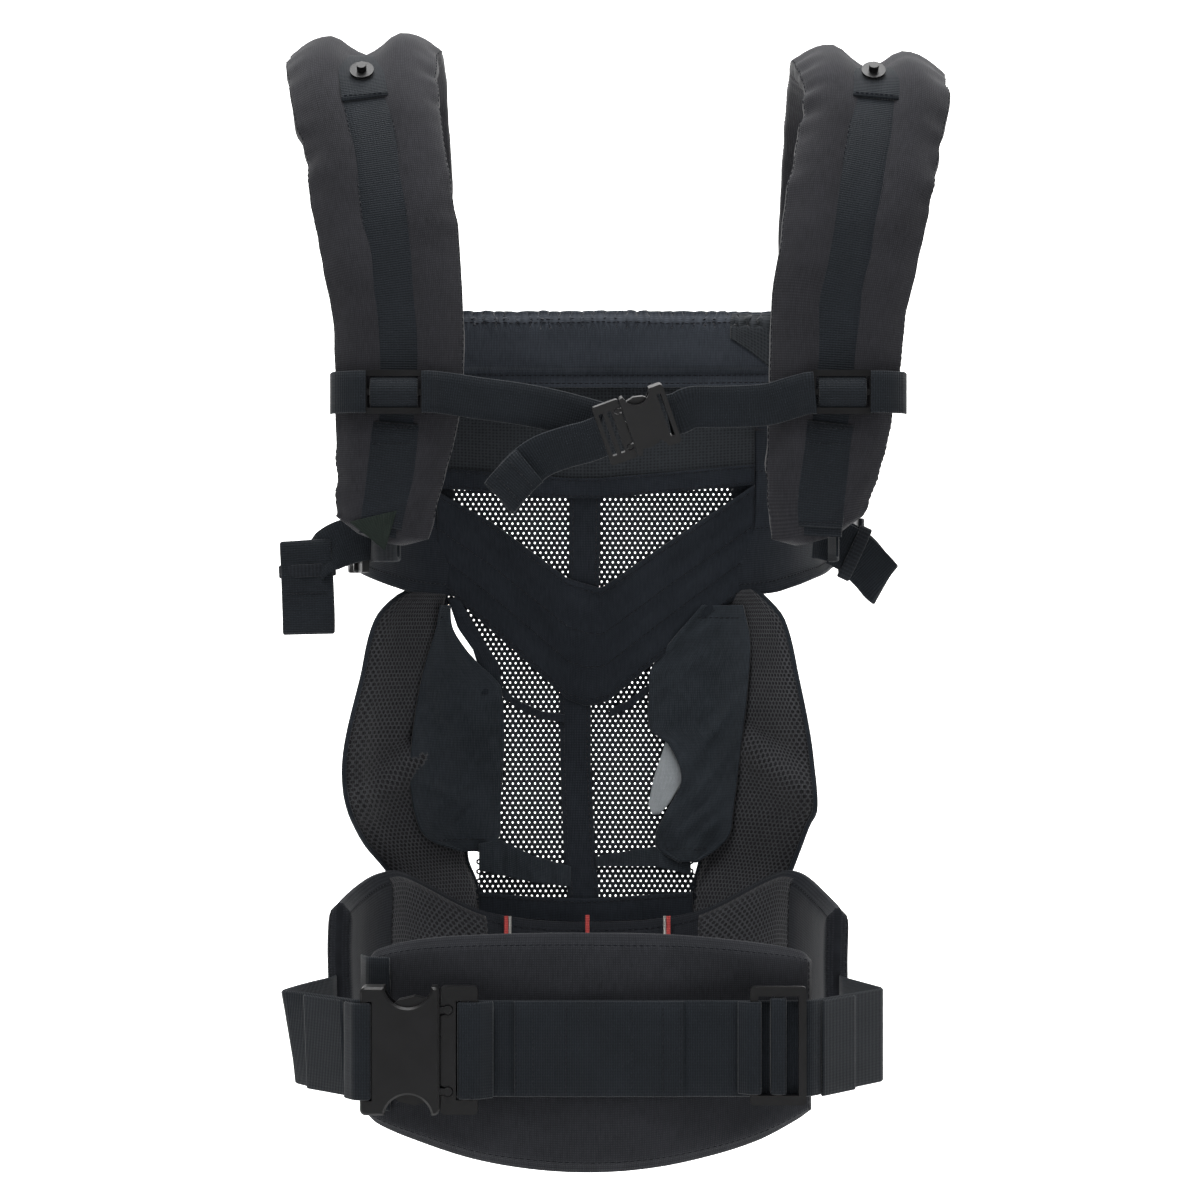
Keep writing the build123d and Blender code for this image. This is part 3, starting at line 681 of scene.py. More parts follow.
def shoulder_strap(name, side):
    rows = []
    steps, ring = 170, 56
    for j in range(steps + 1):
        t = j / steps
        shrink = 1 - 0.55 * (1 - smooth(0.0, 0.012, t)) - 0.5 * smooth(0.988, 1.0, t)
        centre = strap_frame(side, t)[0]
        skin = (strap_skin(side, t, 2 * math.pi * i / ring) for i in range(ring))
        rows.append([centre.lerp(point, max(shrink, 0.3)) for point in skin])
    obj = dress(tube_rows(f"strap_pad_{name}", rows), STRAP_CLOTH, "carrier", "strap_twill")
    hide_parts(f"shoulder_strap_cover_{name}", f"shoulder_strap_foam_{name}")
    lines = []
    # along both edges of the webbing, and along both edges of the padding
    for place in (-0.475, 0.475):
        line = []
        for j in range(260):
            t = lerp(0.59, 0.93, j / 259)
            _, across, out, _, _ = strap_frame(side, t)
            line.append((groove_point(side, t, 0.75) + across * STRAP_WEB * place, out))
        lines.append(line)
    for place in (-0.965, 0.965):
        line = []
        for j in range(420):
            t = 0.03 + 0.94 * j / 419
            out = strap_frame(side, t)[2]
            line.append((strap_skin(side, t, math.acos(place)) + out * 0.1, out))
        lines.append(line)
    sew(f"strap_stitches_{name}", lines, slot="strap_twill")


def groove_point(side, t, lift=0.0):
    """Point on the strap webbing's middle line, which lies in the groove over the shoulder."""
    centre, _, out, _, thick = strap_frame(side, t)
    deep = strap_skin(side, t, math.pi / 2) + out * 0.8
    return deep.lerp(centre + out * (thick / 2 - 0.9), smooth(0.55, 0.60, t)) + out * lift


def strap_webbing(name, side):
    """Webbing down the near face, from a folded end under the press stud to below the chest slider."""
    count = 120
    path = [groove_point(side, lerp(WEB_FROM, 0.985, j / count)) for j in range(count + 1)]
    obj = web(f"strap_web_{name}", path, ACROSS, STRAP_WEB, 1.4)
    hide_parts(f"strap_webbing_{name}")
    # the doubled piece at the top and the sewn box below the slider
    for part, start, end in (("top", WEB_FROM, 0.582), ("box", 0.885, 0.975)):
        lap = [groove_point(side, lerp(start, end, j / 16), 1.4) for j in range(17)]
        web(f"strap_lap_{part}_{name}", lap, ACROSS, STRAP_WEB + 0.4, 1.4)
    lines = []
    for t_line in (0.578, 0.889, 0.901, 0.970):
        _, across, out, _, _ = strap_frame(side, t_line)
        middle = groove_point(side, t_line, 2.15)
        lines.append([(middle + across * lerp(-11.5, 11.5, j / 11), out) for j in range(12)])
    sew(f"strap_web_stitches_{name}", lines, "carrier", "webbing", 2.6, 2.0)


# ---------------------------------------------------------------- waistband and lumbar pad

WAIST_PLAN = [(-138.5, -15), (-137.5, 12), (-133, 42), (-122, 68), (-102, 90), (-56, 107), (0, 113),
              (56, 107), (102, 90), (122, 68), (131.5, 42), (136, 12), (137, -15)]
WAIST_TOP = [(-147, 57), (-144, 62), (-134, 71), (-124, 76), (-112, 76), (-62, 50), (0, 43), (62, 50),
             (112, 76), (122, 76), (134, 67), (144, 58), (147, 52)]
WAIST_BOTTOM = [(-147, -32), (-100, -44), (0, -45), (100, -44), (147, -32)]
# rough size laid flat, which sets how wide the edges are
WAIST_LONG, WAIST_TALL = 430, 110


def crowned(u, v, across, up, full, rim=1.0, fall=22.0, bead=0.0):
    """Half thickness of a stuffed piece: a thin sewn edge, then full towards the middle."""
    edge = min(u * across, (1 - u) * across, v * up, (1 - v) * up)
    rise = math.sqrt(max(0.0, 1 - (1 - min(edge / fall, 1.0)) ** 2.2))
    piping = bead * math.exp(-((edge - 2.2) / 1.8) ** 2)
    return rim + (full - rim) * rise * smooth(1.0, 6.0, edge) + piping


def waist_cloth():
    def at(u, v):
        x, y = spline(WAIST_PLAN, u)
        z = lerp(height(WAIST_BOTTOM, x), height(WAIST_TOP, x), v)
        sag = 1.4 * waves(x, z, 5, 38.0)
        way = Vector((x, y, 0)).normalized()
        return x + way.x * sag, y + way.y * sag, z
    return Cloth(at, lambda u, v: crowned(u, v, WAIST_LONG, WAIST_TALL, 7.0, 1.2, 16.0, 0.9), 150, 44)


def waistband():
    cloth = waist_cloth()
    obj = dress(cloth.build("waistband"), BAND_CLOTH, "carrier", "navy_cotton")
    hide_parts("waistband_cover", "waistband_foam")
    sew("waistband_stitches", [seam(cloth, border(0.012, 0.05), 500, 0.0, face) for face in (1, -1)])
    for name, start, end in (("left", 0.255, 0.405), ("right", 0.598, 0.745)):
        wide, tall = (end - start) * WAIST_LONG, 62.0

        def place(x, y, lift, start=start, end=end, wide=wide):
            return cloth.surface(lerp(start, end, x / wide), lerp(0.40, 0.97, y / tall), 0.35 + lift)

        def inside(x, y, wide=wide):
            return 1 < x < wide - 1 and 1 < y < tall - 1

        def under(u, v, place=place, wide=wide):
            return tuple(place(u * wide, v * tall, -0.25))

        cloth_behind = Cloth(under, lambda u, v: 0.2, 30, 24)
        backing = dress(cloth_behind.build(f"waist_mesh_backing_{name}"), CORE, "carrier", "spacer_mesh")
        skin = net(f"waist_mesh_{name}", place, 26, 28, WING_PITCH, WING_HOLE, inside)
        dress(skin, WING_NET, "carrier", "spacer_mesh")


PAD_PLAN = [(-117, -80), (-90, -91), (-60, -100.5), (-30, -106), (0, -108), (30, -106), (60, -100.5),
            (90, -91), (117, -80)]
PAD_TOP = [(-117, 44), (-112, 50), (-88, 56.5), (-45, 60.5), (0, 61.5), (45, 60), (88, 54.5), (112, 49),
           (117, 44)]
PAD_BOTTOM = [(-119, -36), (-112, -42), (-90.6, -49.6), (-59.5, -57.6), (-30, -61.8), (0, -63), (30, -61.5),
              (54, -57.8), (87.5, -49.6), (109, -40), (117, -35)]
PAD_LONG, PAD_TALL = 234, 112


def pad_cloth():
    def at(u, v):
        x, y = spline(PAD_PLAN, u)
        z = lerp(height(PAD_BOTTOM, x), height(PAD_TOP, x), v)
        return x, y + 0.9 * waves(x, z, 9, 36.0), z

    def half(u, v):
        # the belt presses the pad in along its middle
        press = 0.8 * smooth(0.30, 0.38, v) * (1 - smooth(0.75, 0.83, v))
        press *= smooth(0.12, 0.25, u) * (1 - smooth(0.8, 0.95, u))
        wrinkle = 0.5 * waves(u * PAD_LONG, v * 110, 2, 16.0) * smooth(0.0, 0.12, v)
        wrinkle *= smooth(0.02, 0.1, u) * smooth(0.02, 0.1, 1 - u)
        return crowned(u, v, PAD_LONG, PAD_TALL, 8.2, 1.3, 24.0, 1.1) - press + wrinkle

    return Cloth(at, half, 120, 60)


def lumbar_pad():
    cloth = pad_cloth()
    obj = dress(cloth.build("lumbar_pad"), PAD_CLOTH, "lumbar_pad", "navy_cotton")
    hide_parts("lumbar_pad_cover", "lumbar_pad_foam")
    lines = [seam(cloth, border(0.022, 0.045), 400, 0.0, face) for face in (1, -1)]
    sew("pad_stitches", lines, "lumbar_pad")
    # webbing tabs that finish the pad's left end above and below the belt
    for part, low, high in (("upper", 26, 47), ("lower", -34, -14)):
        middle = (low + high) / 2
        path = along([(-121, -78, middle), (-117, -89.5, middle), (-105, -95.6, middle + 0.5)], 12, 3)
        web(f"pad_tab_{part}", path, UPRIGHT, high - low, 1.4, "lumbar_pad")


# ---------------------------------------------------------------- belt webbing

BELT_LOW = -22.0
BELT_HIGH = BELT_LOW + BELT_WEB
BELT_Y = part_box("waist_webbing_right")[0][1] / MM + 0.8
HOUSING_LOW, HOUSING_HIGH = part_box("waist_buckle_housing")


def released(obj):
    """The belt's buckle end: its placement is baked into its mesh."""
    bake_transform(obj)
    return obj


def ear_layer(name, path, start, end, lean):
    """The turned-back second layer near each end of the belt."""
    part = [point for point in path if start < point.x < end and point.y < -60]
    way = (part[-1] - part[0]).cross(Vector((0, 0, 1))).normalized()
    way *= -1 if way.y > 0 else 1
    over = [point + way * 1.6 + Vector((0, 0, -0.8)) for point in part]
    web(name, over, steady(lean, 0, 1), BELT_WEB, 1.4)


def belt_webbing():
    bar = HOUSING_LOW[0] / MM
    middle_y = (HOUSING_LOW[1] + HOUSING_HIGH[1]) / 2 / MM
    # from the waistband's side to the housing, and round the housing's bar
    back, front = middle_y + 7.6, middle_y - 7.4
    left = [(-139.5, -2), (-141.0, -24), (-159.5, -78), (bar - 3, back), (bar + 4.9, back),
            (bar + 4.9, front), (bar - 2.4, front), (bar - 8, middle_y + 0.5)]
    path = upright(left, 150, BELT_LOW, BELT_HIGH, 2.2)

    def lean(t):
        return -0.27 * math.exp(-((t - 0.355) / 0.16) ** 2), 0, 1

    obj = web("belt_left", path, lean, BELT_WEB, 1.6)
    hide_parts("waist_webbing_left")
    ear_layer("belt_ear_left", path, -149, -126, -0.07)
    right = [(-69, BELT_Y), (40, BELT_Y), (114, BELT_Y), (157, -70), (139.0, -24), (137.5, -2)]
    path = upright(right, 190, BELT_LOW, BELT_HIGH, 4.0)
    obj = released(web("belt_right", path, UPRIGHT, BELT_WEB, 1.6, None))
    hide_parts("waist_webbing_right")
    ear_layer("belt_ear_right", path, 119, 139, 0.0)
    # the second layer, sewn down over the middle of the belt
    front = BELT_Y - 1.7
    lap = upright([(-39, front), (49, front)], 44, BELT_LOW, BELT_HIGH, 0)
    released(web("belt_lap", lap, UPRIGHT, BELT_WEB - 0.4, 1.5, None))
    lines = []
    for x in (-38, -29, -12, 22, 38, 47):
        row = [Vector((x, front - 0.7, lerp(BELT_LOW + 2, BELT_HIGH - 2, j / 13))) for j in range(14)]
        lines.append([(point, NEAR) for point in row])
    released(sew("belt_stitches", lines, None, "webbing", 2.8, 2.1))


def adjuster_loops():
    """Webbing over the bars of the tongue and the triglide."""
    deep = 1.5
    frame_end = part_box("waist_buckle_tongue")[1][0] / MM
    for name, node, body in (("tongue_loop", "waist_buckle_loop", "waist_tongue"),
                             ("triglide_loop", "waist_triglide_loop", "belt_triglide")):
        low, high = (Vector(c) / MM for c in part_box(node))
        inset = deep / 2
        corners = [(low.x + inset, high.y), (low.x + inset, low.y + inset), (high.x - inset, low.y + inset),
                   (high.x - inset, high.y)]
        if body == "waist_tongue":
            # it lies over the frame's end bar and runs on into the belt
            corners[2:] = [(frame_end + 0.6, low.y + inset), (frame_end + 7.5, BELT_Y - 3.4)]
        path = upright(corners, 30, low.z, high.z, 1.6)
        obj = web(name, path, UPRIGHT, high.z - low.z, deep, body)
        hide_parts(node)
    low, high = (Vector(c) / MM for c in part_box("waist_triglide"))
    front = low.y - deep / 2 - 0.1
    corners = [(low.x + 5.2, front + 3.4), (low.x + 5.0, front), (low.x - 0.6, front),
               (low.x - 6.0, BELT_Y - 2.2)]
    cover = upright(corners, 24, BELT_LOW + 2, BELT_HIGH, 1.2)
    web("triglide_cover", cover, UPRIGHT, BELT_WEB - 2, deep, "belt_triglide")


# ---------------------------------------------------------------- baby panel

PROFILE = [(40, 122.5), (75, 128), (120, 135), (170, 137), (240, 132), (300, 125), (366, 121)]
PANEL_LEFT = [(42, -69), (80, -67.5), (104, -62), (130, -60), (185, -62), (205, -65), (222, -78), (238, -92),
              (366, -92)]
PANEL_RIGHT = [(42, 62), (66, 62.5), (80, 61), (100, 62), (130, 70), (200, 90), (236, 98), (366, 98)]


def panel_y(x, z, layer=0.0):
    """Depth of the panel, this many millimetres towards the camera."""
    bow = 4.0 * (1 - min(abs(x - 3) / 95, 1) ** 2) - 4.0
    return height(PROFILE, z) + bow + 1.2 * waves(x, z, 1, 60.0) - layer


def panel_piece(name, left, right, low, high, layer, half, across, up, material, slot="navy_cotton",
                relief=None):
    """A layer of the panel between two edges, each given as (z, x) points."""

    def at(u, v):
        z = lerp(low, high, v)
        x = lerp(height(left, z, True), height(right, z, True), u)
        lift = relief(x, z) if relief else 0.0
        return x, panel_y(x, z, layer + lift), z

    cloth = Cloth(at, lambda u, v: half, across, up)
    obj = dress(cloth.build(name), material, "carrier", slot)
    return cloth, obj


def wide_piece(name, bottom, top, layer, half, across, up, material, relief=None, node=None, body="carrier"):
    """A layer of the panel between a lower and an upper edge, each given as (x, z) points."""
    x0, x1 = bottom[0][0], bottom[-1][0]

    def at(u, v):
        x = lerp(x0, x1, u)
        z = lerp(height(bottom, x, True), height(top, x, True), v)
        lift = relief(x, z) if relief else 0.0
        return x, panel_y(x, z, layer + lift), z

    cloth = Cloth(at, lambda u, v: half, across, up)
    obj = dress(cloth.build(name), material, body, "navy_cotton")
    if node:
        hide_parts(node)
    return cloth, obj


def mesh_panel():
    pitch = 3.35

    def inside(x, z):
        return 43 < z < 316 and height(PANEL_LEFT, z, True) < x < height(PANEL_RIGHT, z, True)

    obj = net("panel_mesh", lambda x, z, lift: (x, panel_y(x, z, lift), z), 60, 97, pitch, 0.345, inside,
              0.5, (-94, 43))
    dress(obj, NET, "carrier", "open_mesh")
    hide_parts("mesh_panel")


TRIANGLE_TOP = [(-92, 303), (-13, 297), (6, 297), (98, 305)]
YOKE_TOP = [(-92, 300), (-60, 282), (-14, 248), (6, 242), (50, 272), (98, 304)]
YOKE_LOW = [(-92, 246), (-81, 236), (-40, 199), (-14, 175), (-3, 171), (10, 174), (45, 203), (87, 236),
            (98, 244)]


def panel_layers():
    mesh_panel()
    cloths = []
    top = [(-92, 365), (98, 365)]
    band, obj = wide_piece("upper_band", TRIANGLE_TOP, top, 1.6, 0.7, 90, 30, KNIT,
                           relief=lambda x, z: 0.8 * waves(x, z, 3, 25.0), node="upper_band")
    cloths.append((band, [[(0.0, 0.96), (1.0, 0.96)]]))
    edge_low = [(x, z - 1) for x, z in TRIANGLE_TOP]
    edge_high = [(x, z + 11) for x, z in TRIANGLE_TOP]
    binding, obj = wide_piece("upper_binding", edge_low, edge_high, 3.2, 1.1, 90, 8, NAVY_CLOTH,
                              relief=lambda x, z: 0.9 * waves(x, z * 0.6, 8, 15.0))
    cloths.append((binding, [[(0.0, 0.12), (1.0, 0.12)], [(0.0, 0.88), (1.0, 0.88)]]))

    def quilt(x, z):
        edge = z - height(YOKE_LOW, x, True)
        channels = 0.7 * abs(math.sin(edge / 16.0 * math.pi))
        return channels + 0.8 * waves(x, z, 7, 22.0)

    yoke, obj = wide_piece("v_yoke", YOKE_LOW, YOKE_TOP, 3.0, 0.9, 110, 26, NAVY_CLOTH, relief=quilt,
                           node="v_yoke")
    cloths.append((yoke, [[(0.0, v), (0.48, v), (0.52, v), (1.0, v)] for v in (0.05, 0.32, 0.60, 0.95)]))

    strip_left = [(47, -13.5), (61, -14), (85, -16.5), (139, -18.5), (175, -19), (215, -16), (241, -13.5),
                  (300, -13)]
    strip_right = [(47, 5), (61, 4.8), (85, 2.4), (139, 0), (175, 0), (215, 3), (241, 5), (300, 6)]
    strip, obj = panel_piece("centre_strip", strip_left, strip_right, 47, 299, 1.8, 0.8, 8, 100, NAVY_CLOTH,
                             relief=lambda x, z: 0.5 * waves(x, z, 9, 18.0))
    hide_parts("centre_strip")
    cloths.append((strip, [[(0.13, 0.0), (0.13, 1.0)], [(0.87, 0.0), (0.87, 1.0)]]))

    for part, low, high in (
        ("left", [(-56, 179), (-45, 170), (-30, 163), (-16, 161)],
         [(-56, 184), (-45, 175), (-30, 168), (-16, 166)]),
        ("right", [(11, 164), (22, 169), (36, 180)], [(11, 169), (22, 174), (36, 185)]),
    ):
        _, obj = wide_piece(f"binding_{part}", low, high, 3.0, 1.0, 30, 6, NAVY_CLOTH,
                            relief=lambda x, z: 0.4 * waves(x, z, 5, 9.0))
    hem_low = [(-67, 44), (-36, 42), (-3, 40), (30, 41), (61, 43)]
    hem_top = [(-67, 60), (-30, 57), (-3, 56), (30, 58), (61, 60)]
    hem, obj = wide_piece("seat_hem", hem_low, hem_top, 2.6, 1.2, 60, 10, NAVY_CLOTH,
                          relief=lambda x, z: 0.8 * waves(x, z, 2, 16.0), node="seat_hem")
    cloths.append((hem, [[(0.0, 0.15), (1.0, 0.15)], [(0.0, 0.85), (1.0, 0.85)]]))

    for part, low, high in (
        ("left", [(-67, 73), (-54, 70), (-36, 66), (-12, 63)], [(-67, 89), (-54, 91), (-36, 82), (-12, 75)]),
        ("right", [(3, 75), (39, 75), (60, 70)], [(3, 81), (39, 87), (60, 83)]),
    ):
        _, obj = wide_piece(
            f"cross_band_{part}", low, high, 3.0, 0.8, 50, 16, LEAF_CLOTH,
            relief=lambda x, z: 2.4 * waves(x * 1.4, z * 0.4 + x * 0.3, 5, 9.0)
        )
    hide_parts("seat_cross_bands")
    seams = [(cloth, route) for cloth, routes in cloths for route in routes]
    lines = [seam(cloth, route, 160, 0.05, face) for face in (1, -1) for cloth, route in seams]
    sew("panel_stitches", lines)


LEAF_EDGES = {
    "left": (
        [(84, -77), (91, -95), (103, -103), (127, -107), (157, -105.5), (181, -102), (198, -98.5),
         (218, -92.5), (232, -90)],
        [(84, -67), (91, -56), (103, -54.5), (181, -54), (198, -69), (205, -75), (218, -83), (232, -84.5)],
    ),
    "right": (
        [(78, 53), (85, 41), (94, 39), (106, 44.5), (127, 54.5), (148, 47), (157, 36), (181, 35), (193, 36),
         (211, 49), (232, 67)],
        [(78, 63), (85, 75), (94, 83), (106, 85), (148, 90), (181, 93.5), (211, 95), (232, 91)],
    ),
}
SIDE_STRIP = (
    [(178, -68.5), (197, -68.5), (205, -71), (218, -80), (236, -86)],
    [(178, -52.5), (197, -55.5), (205, -61), (218, -69), (236, -79)],
)
# soft creases in the flaps: each from one (x, z) to another, with its height
CREASES = [
    ((-106, 128), (-78, 116), 2.6), ((-98, 104), (-66, 132), 2.0), ((-88, 96), (-70, 112), -2.2),
    ((-100, 168), (-76, 150), 1.6),
    ((92, 182), (62, 138), 2.6), ((90, 152), (56, 110), 2.2), ((76, 120), (50, 96), -2.2),
    ((84, 110), (62, 90), 1.8),
]


def crease_lift(x, z):
    total = 0.0
    for start, end, size in CREASES:
        dx, dz = end[0] - start[0], end[1] - start[1]
        t = min(max(((x - start[0]) * dx + (z - start[1]) * dz) / (dx * dx + dz * dz), 0.0), 1.0)
        away = (x - start[0] - dx * t) ** 2 + (z - start[1] - dz * t) ** 2
        total += size * math.exp(-away / 7.0) * math.sin(math.pi * min(max(t, 0.08), 0.92))
    return total


def leaf_y(x, z, layer):
    """Depth of the flaps beside the panel, which lie on the wings at their outer edges."""
    over = smooth(62, 84, abs(x))
    return lerp(panel_y(x, z, layer), height(WING_PLAN, abs(x)) - 6.6 - layer * 0.5, over)


def seat_leaves():
    for name, (left, right) in LEAF_EDGES.items():
        low, high = left[0][0], left[-1][0]
        seed = 4 if name == "left" else 8

        def at(u, v, left=left, right=right, low=low, high=high, seed=seed):
            z = lerp(low, high, v)
            x = lerp(height(left, z), height(right, z), u)
            fold = 4.2 * waves(x * 1.2 + z * 0.5, z * 0.3, seed, 24.0)
            fold += 2.2 * waves(x - z * 0.6, z * 0.8, seed + 3, 11.0)
            hem = 1.6 * math.exp(-((u - 0.05) / 0.05) ** 2) + 1.6 * math.exp(-((u - 0.95) / 0.05) ** 2)
            return x, leaf_y(x, z, 4.5 + fold + crease_lift(x, z) + 0.5 * hem), z

        cloth = Cloth(at, lambda u, v: 0.6, 60, 110)
        obj = dress(cloth.build(f"seat_leaf_{name}"), LEAF_CLOTH, "carrier", "navy_cotton")
        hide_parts(f"seat_leaf_{name}")
        lines = [seam(cloth, [(0.10, v), (0.90, v)], 70, 0.05) for v in (0.05, 0.95)]
        sew(f"leaf_stitches_{name}", lines)
    _, obj = panel_piece("side_strip", *SIDE_STRIP, 178, 236, 3.4, 0.7, 12, 30, NAVY_CLOTH,
                             relief=lambda x, z: waves(x, z, 4, 14.0))
    # pale grey sheet at the right flap's inner edge: painted shade, standing in for the shaded gap between
    # the flap and the panel
    left = [(106, 37), (112, 34.5), (128, 38), (146, 44), (157, 47)]
    right = [(106, 41), (112, 47), (128, 57), (146, 54), (157, 48)]
    _, obj = panel_piece("lining", left, right, 106, 157, 2.6, 0.25, 12, 24, GAP_SHADE_GREY,
                         relief=lambda x, z: 1.2 * waves(x, z, 4, 18.0))


WING_OUTER = {
    -1: [(36, 104), (56, 111), (74, 119), (92, 131), (109, 137.5), (130, 142), (153, 140.5), (188, 133.5),
         (223, 126), (238, 113), (244, 100)],
    1: [(36, 102), (56, 110), (72, 117), (89, 123), (103, 127.5), (112, 131), (147, 129), (188, 122),
        (223, 114), (237, 103), (244, 94)],
}
WING_INNER = {
    -1: [(36, 65), (58, 67.5), (66, 70), (78, 75), (95, 76), (140, 80), (180, 84), (200, 86), (225, 89),
         (244, 86)],
    1: [(36, 60), (58, 61), (66, 63), (76, 66), (90, 68), (140, 74), (200, 82), (225, 84), (244, 80)],
}
WING_PLAN = [(64, 139), (84, 131), (106, 113), (128, 86), (141, 54)]


def wing_cloth(side):
    low, high = WING_INNER[side][0][0], WING_INNER[side][-1][0]

    def at(u, v):
        z = lerp(low, high, v)
        x = lerp(height(WING_INNER[side], z), height(WING_OUTER[side], z), u if side > 0 else 1 - u)
        tuck = smooth(40, 96, 96 + low - z) * 22 * (1 - smooth(low, 100, z))
        slope = ((x - 118) * 0.62 + (z - 128) * 0.78) / 7.0
        reach = smooth(86, 104, x) * (1 - smooth(150, 175, z)) * smooth(84, 100, z)
        crease = (5.0 * math.exp(-slope**2) - 3.0 * math.exp(-(slope - 2.2) ** 2)) * reach
        depth = height(WING_PLAN, x) - tuck - crease + 1.5 * waves(x, z, side * 3, 30.0)
        return side * x, depth, z

    def half(u, v):
        return crowned(u, v, 62, 208, 4.2, 0.8, 14.0, 0.6)

    return Cloth(at, half, 46, 90)


def side_wings():
    for name, side in SIDES.items():
        cloth = wing_cloth(side)
        core = dress(cloth.build(f"side_wing_{name}"), CORE, "carrier", "spacer_mesh")
        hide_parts(f"side_wing_{name}")
        wide, tall = 66.0, 208.0
        for part, face in (("inner", 1), ("outer", -1)):

            def place(x, y, lift, face=face):
                u, v = min(max(x / wide, 0.0), 1.0), min(max(y / tall, 0.0), 1.0)
                return cloth.surface(u, v, 0.25 + lift, face)

            skin = net(f"wing_{part}_mesh_{name}", place, 26, 94, WING_PITCH, WING_HOLE,
                       lambda x, y: 1 < x < wide - 1 and 1 < y < tall - 1)
            dress(skin, WING_NET, "carrier", "spacer_mesh")
        route = [(0.0, 0.0), (0.0, 0.5), (0.0, 1.0), (1.0, 1.0), (1.0, 0.5), (1.0, 0.0), (0.0, 0.0)]
        rim = [Vector(cloth.at(p.x, p.y)) for p in along([(u, v, 0) for u, v in route], 240)]
        dress(cord_mesh(f"wing_binding_{name}", rim, 1.5, 8), NAVY_CLOTH, "carrier", "navy_cotton")


YOKE_WING_PLAN = [(84, 129), (108, 112), (128, 80), (135, 40), (136, 4)]
YOKE_WING_SHIFT = 1.5
YOKE_WING_TOP = [(8, 290), (30, 300), (60, 320), (108, 349), (140, 352)]
YOKE_WING_LOW = [(4, 258), (20, 255), (60, 250), (80, 247), (100, 242.5), (112, 239.5), (140, 236)]


def yoke_wings():
    for name, side in SIDES.items():

        def at(u, v, side=side):
            x, y = spline(YOKE_WING_PLAN, 1 - u if side < 0 else u)
            z = lerp(height(YOKE_WING_LOW, y), height(YOKE_WING_TOP, y), v)
            fold = 1.8 * waves(y * 0.8, z, side * 5, 26.0)
            way = Vector((side * x, y, 0)).normalized()
            return YOKE_WING_SHIFT + side * x + way.x * fold, y + way.y * fold, z

        cloth = Cloth(at, lambda u, v: crowned(u, v, 150, 90, 3.2, 0.9, 12.0, 0.7), 80, 40)
        obj = dress(cloth.build(f"yoke_wing_{name}"), NAVY_CLOTH, "carrier", "navy_cotton")
        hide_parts(f"yoke_wing_{name}")
        lines = [seam(cloth, border(0.03, 0.06)[::-1], 300, 0.0, f) for f in (1, -1)]
        lines += [seam(cloth, [(0.03, v), (0.97, v)], 120, 0.0, f) for f in (1, -1) for v in (0.35, 0.65)]
        sew(f"yoke_wing_stitches_{name}", lines)


def strap_roots():
    """The padded wedge that sews each shoulder strap to the top of the yoke wing."""
    for name, side in SIDES.items():
        centre, across, _, width, thick = strap_frame(side, 0.012)

        def at(u, v, side=side, centre=centre, across=across, width=width):
            strap = centre + across * (side * 0.97 * width * (u - 0.5))
            x, y = spline(YOKE_WING_PLAN, 0.06 + 0.50 * u)
            wing = Vector((YOKE_WING_SHIFT + side * x, y, height(YOKE_WING_TOP, y) - 16))
            return tuple(wing.lerp(strap, v))

        def half(u, v, thick=thick):
            rim = min(u * 58, (1 - u) * 58)
            return lerp(3.4, thick * 0.45, smooth(0.1, 1.0, v)) * (0.35 + 0.65 * smooth(0, 9, rim))

        obj = Cloth(at, half, 40, 24).build(f"strap_root_{name}")
        dress(obj, STRAP_CLOTH, "carrier", "strap_twill")


HEAD_PLAN = [(-84, 101), (-30, 112), (15, 114), (60, 112), (110, 102)]


def head_support():
    low, high = 361.5, 407.5

    def at(u, v):
        x, y = spline(HEAD_PLAN, u)
        droop = 2.0 * (2 * u - 1) ** 2
        y -= 2.5 * (1 - smooth(0.0, 0.25, v))
        z = lerp(low, high - droop, v)
        gather = smooth(0.72, 1.0, v)
        z += gather * 0.8 * waves(x, 0, 3, 5.0)
        y += gather * 1.6 * math.sin(x * 0.95 + 2.0 * waves(x, 0, 1, 20.0))
        return x, y + 0.8 * waves(x, z, 2, 24.0), z

    def half(u, v):
        roll = crowned(u, max(v - 0.14, 0.0) / 0.86, 184, 40, 7.4, 1.0, 15.0, 0.0)
        pleat = 0.5 * math.sin(u * 170 * 0.95) * smooth(0.55, 0.95, v)
        return max(roll + pleat, 0.8)

    cloth = Cloth(at, half, 190, 34)
    # the head support's cloth is the navy cotton made lighter: painted top light
    obj = dress(cloth.build("head_support"), TOPLIT_NAVY_CLOTH, "head_support", "navy_cotton")
    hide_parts("head_support_cover", "head_support_foam")
    lines = [seam(cloth, [(0.02, v), (0.98, v)], 260, 0.0, f) for f in (1, -1) for v in (0.05, 0.15, 0.86)]
    sew("head_support_stitches", lines, "head_support")

    def corner_at(u, v):
        return cloth.surface(lerp(0.86, 0.995, u), lerp(0.18 + 0.45 * (1 - u), 0.97, v), 0.6)

    corner = Cloth(corner_at, lambda u, v: 0.5, 20, 24)
    obj = dress(corner.build("head_support_corner"), KNIT, "head_support", "navy_cotton")


def markers():
    """The three marker tabs, each a red tape. The outer two have a white edge."""
    low, high = (Vector(c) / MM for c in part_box("seat_marker_tabs"))
    for i, (x, y) in enumerate(((-50, 99.5), (-2, 105.6), (46, 100.2))):
        path = [Vector((x, y - 0.9 + 0.8 * k / 8, lerp(low.z, high.z + 5.0, k / 8))) for k in range(9)]
        tape = ribbon(f"marker_{i}", path, ACROSS, 2.6, 1.0)
        dress(tape, MARKER, "carrier", "marker_tape")
        if i != 1:
            inward = 2.2 if x < 0 else -2.2
            edge = ribbon(f"marker_edge_{i}", [p + Vector((inward, 0, 0)) for p in path], ACROSS, 1.7, 1.0)
            dress(edge, MARKER_EDGE, "carrier", "marker_tape")
    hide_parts("seat_marker_tabs")


# ---------------------------------------------------------------- chest strap

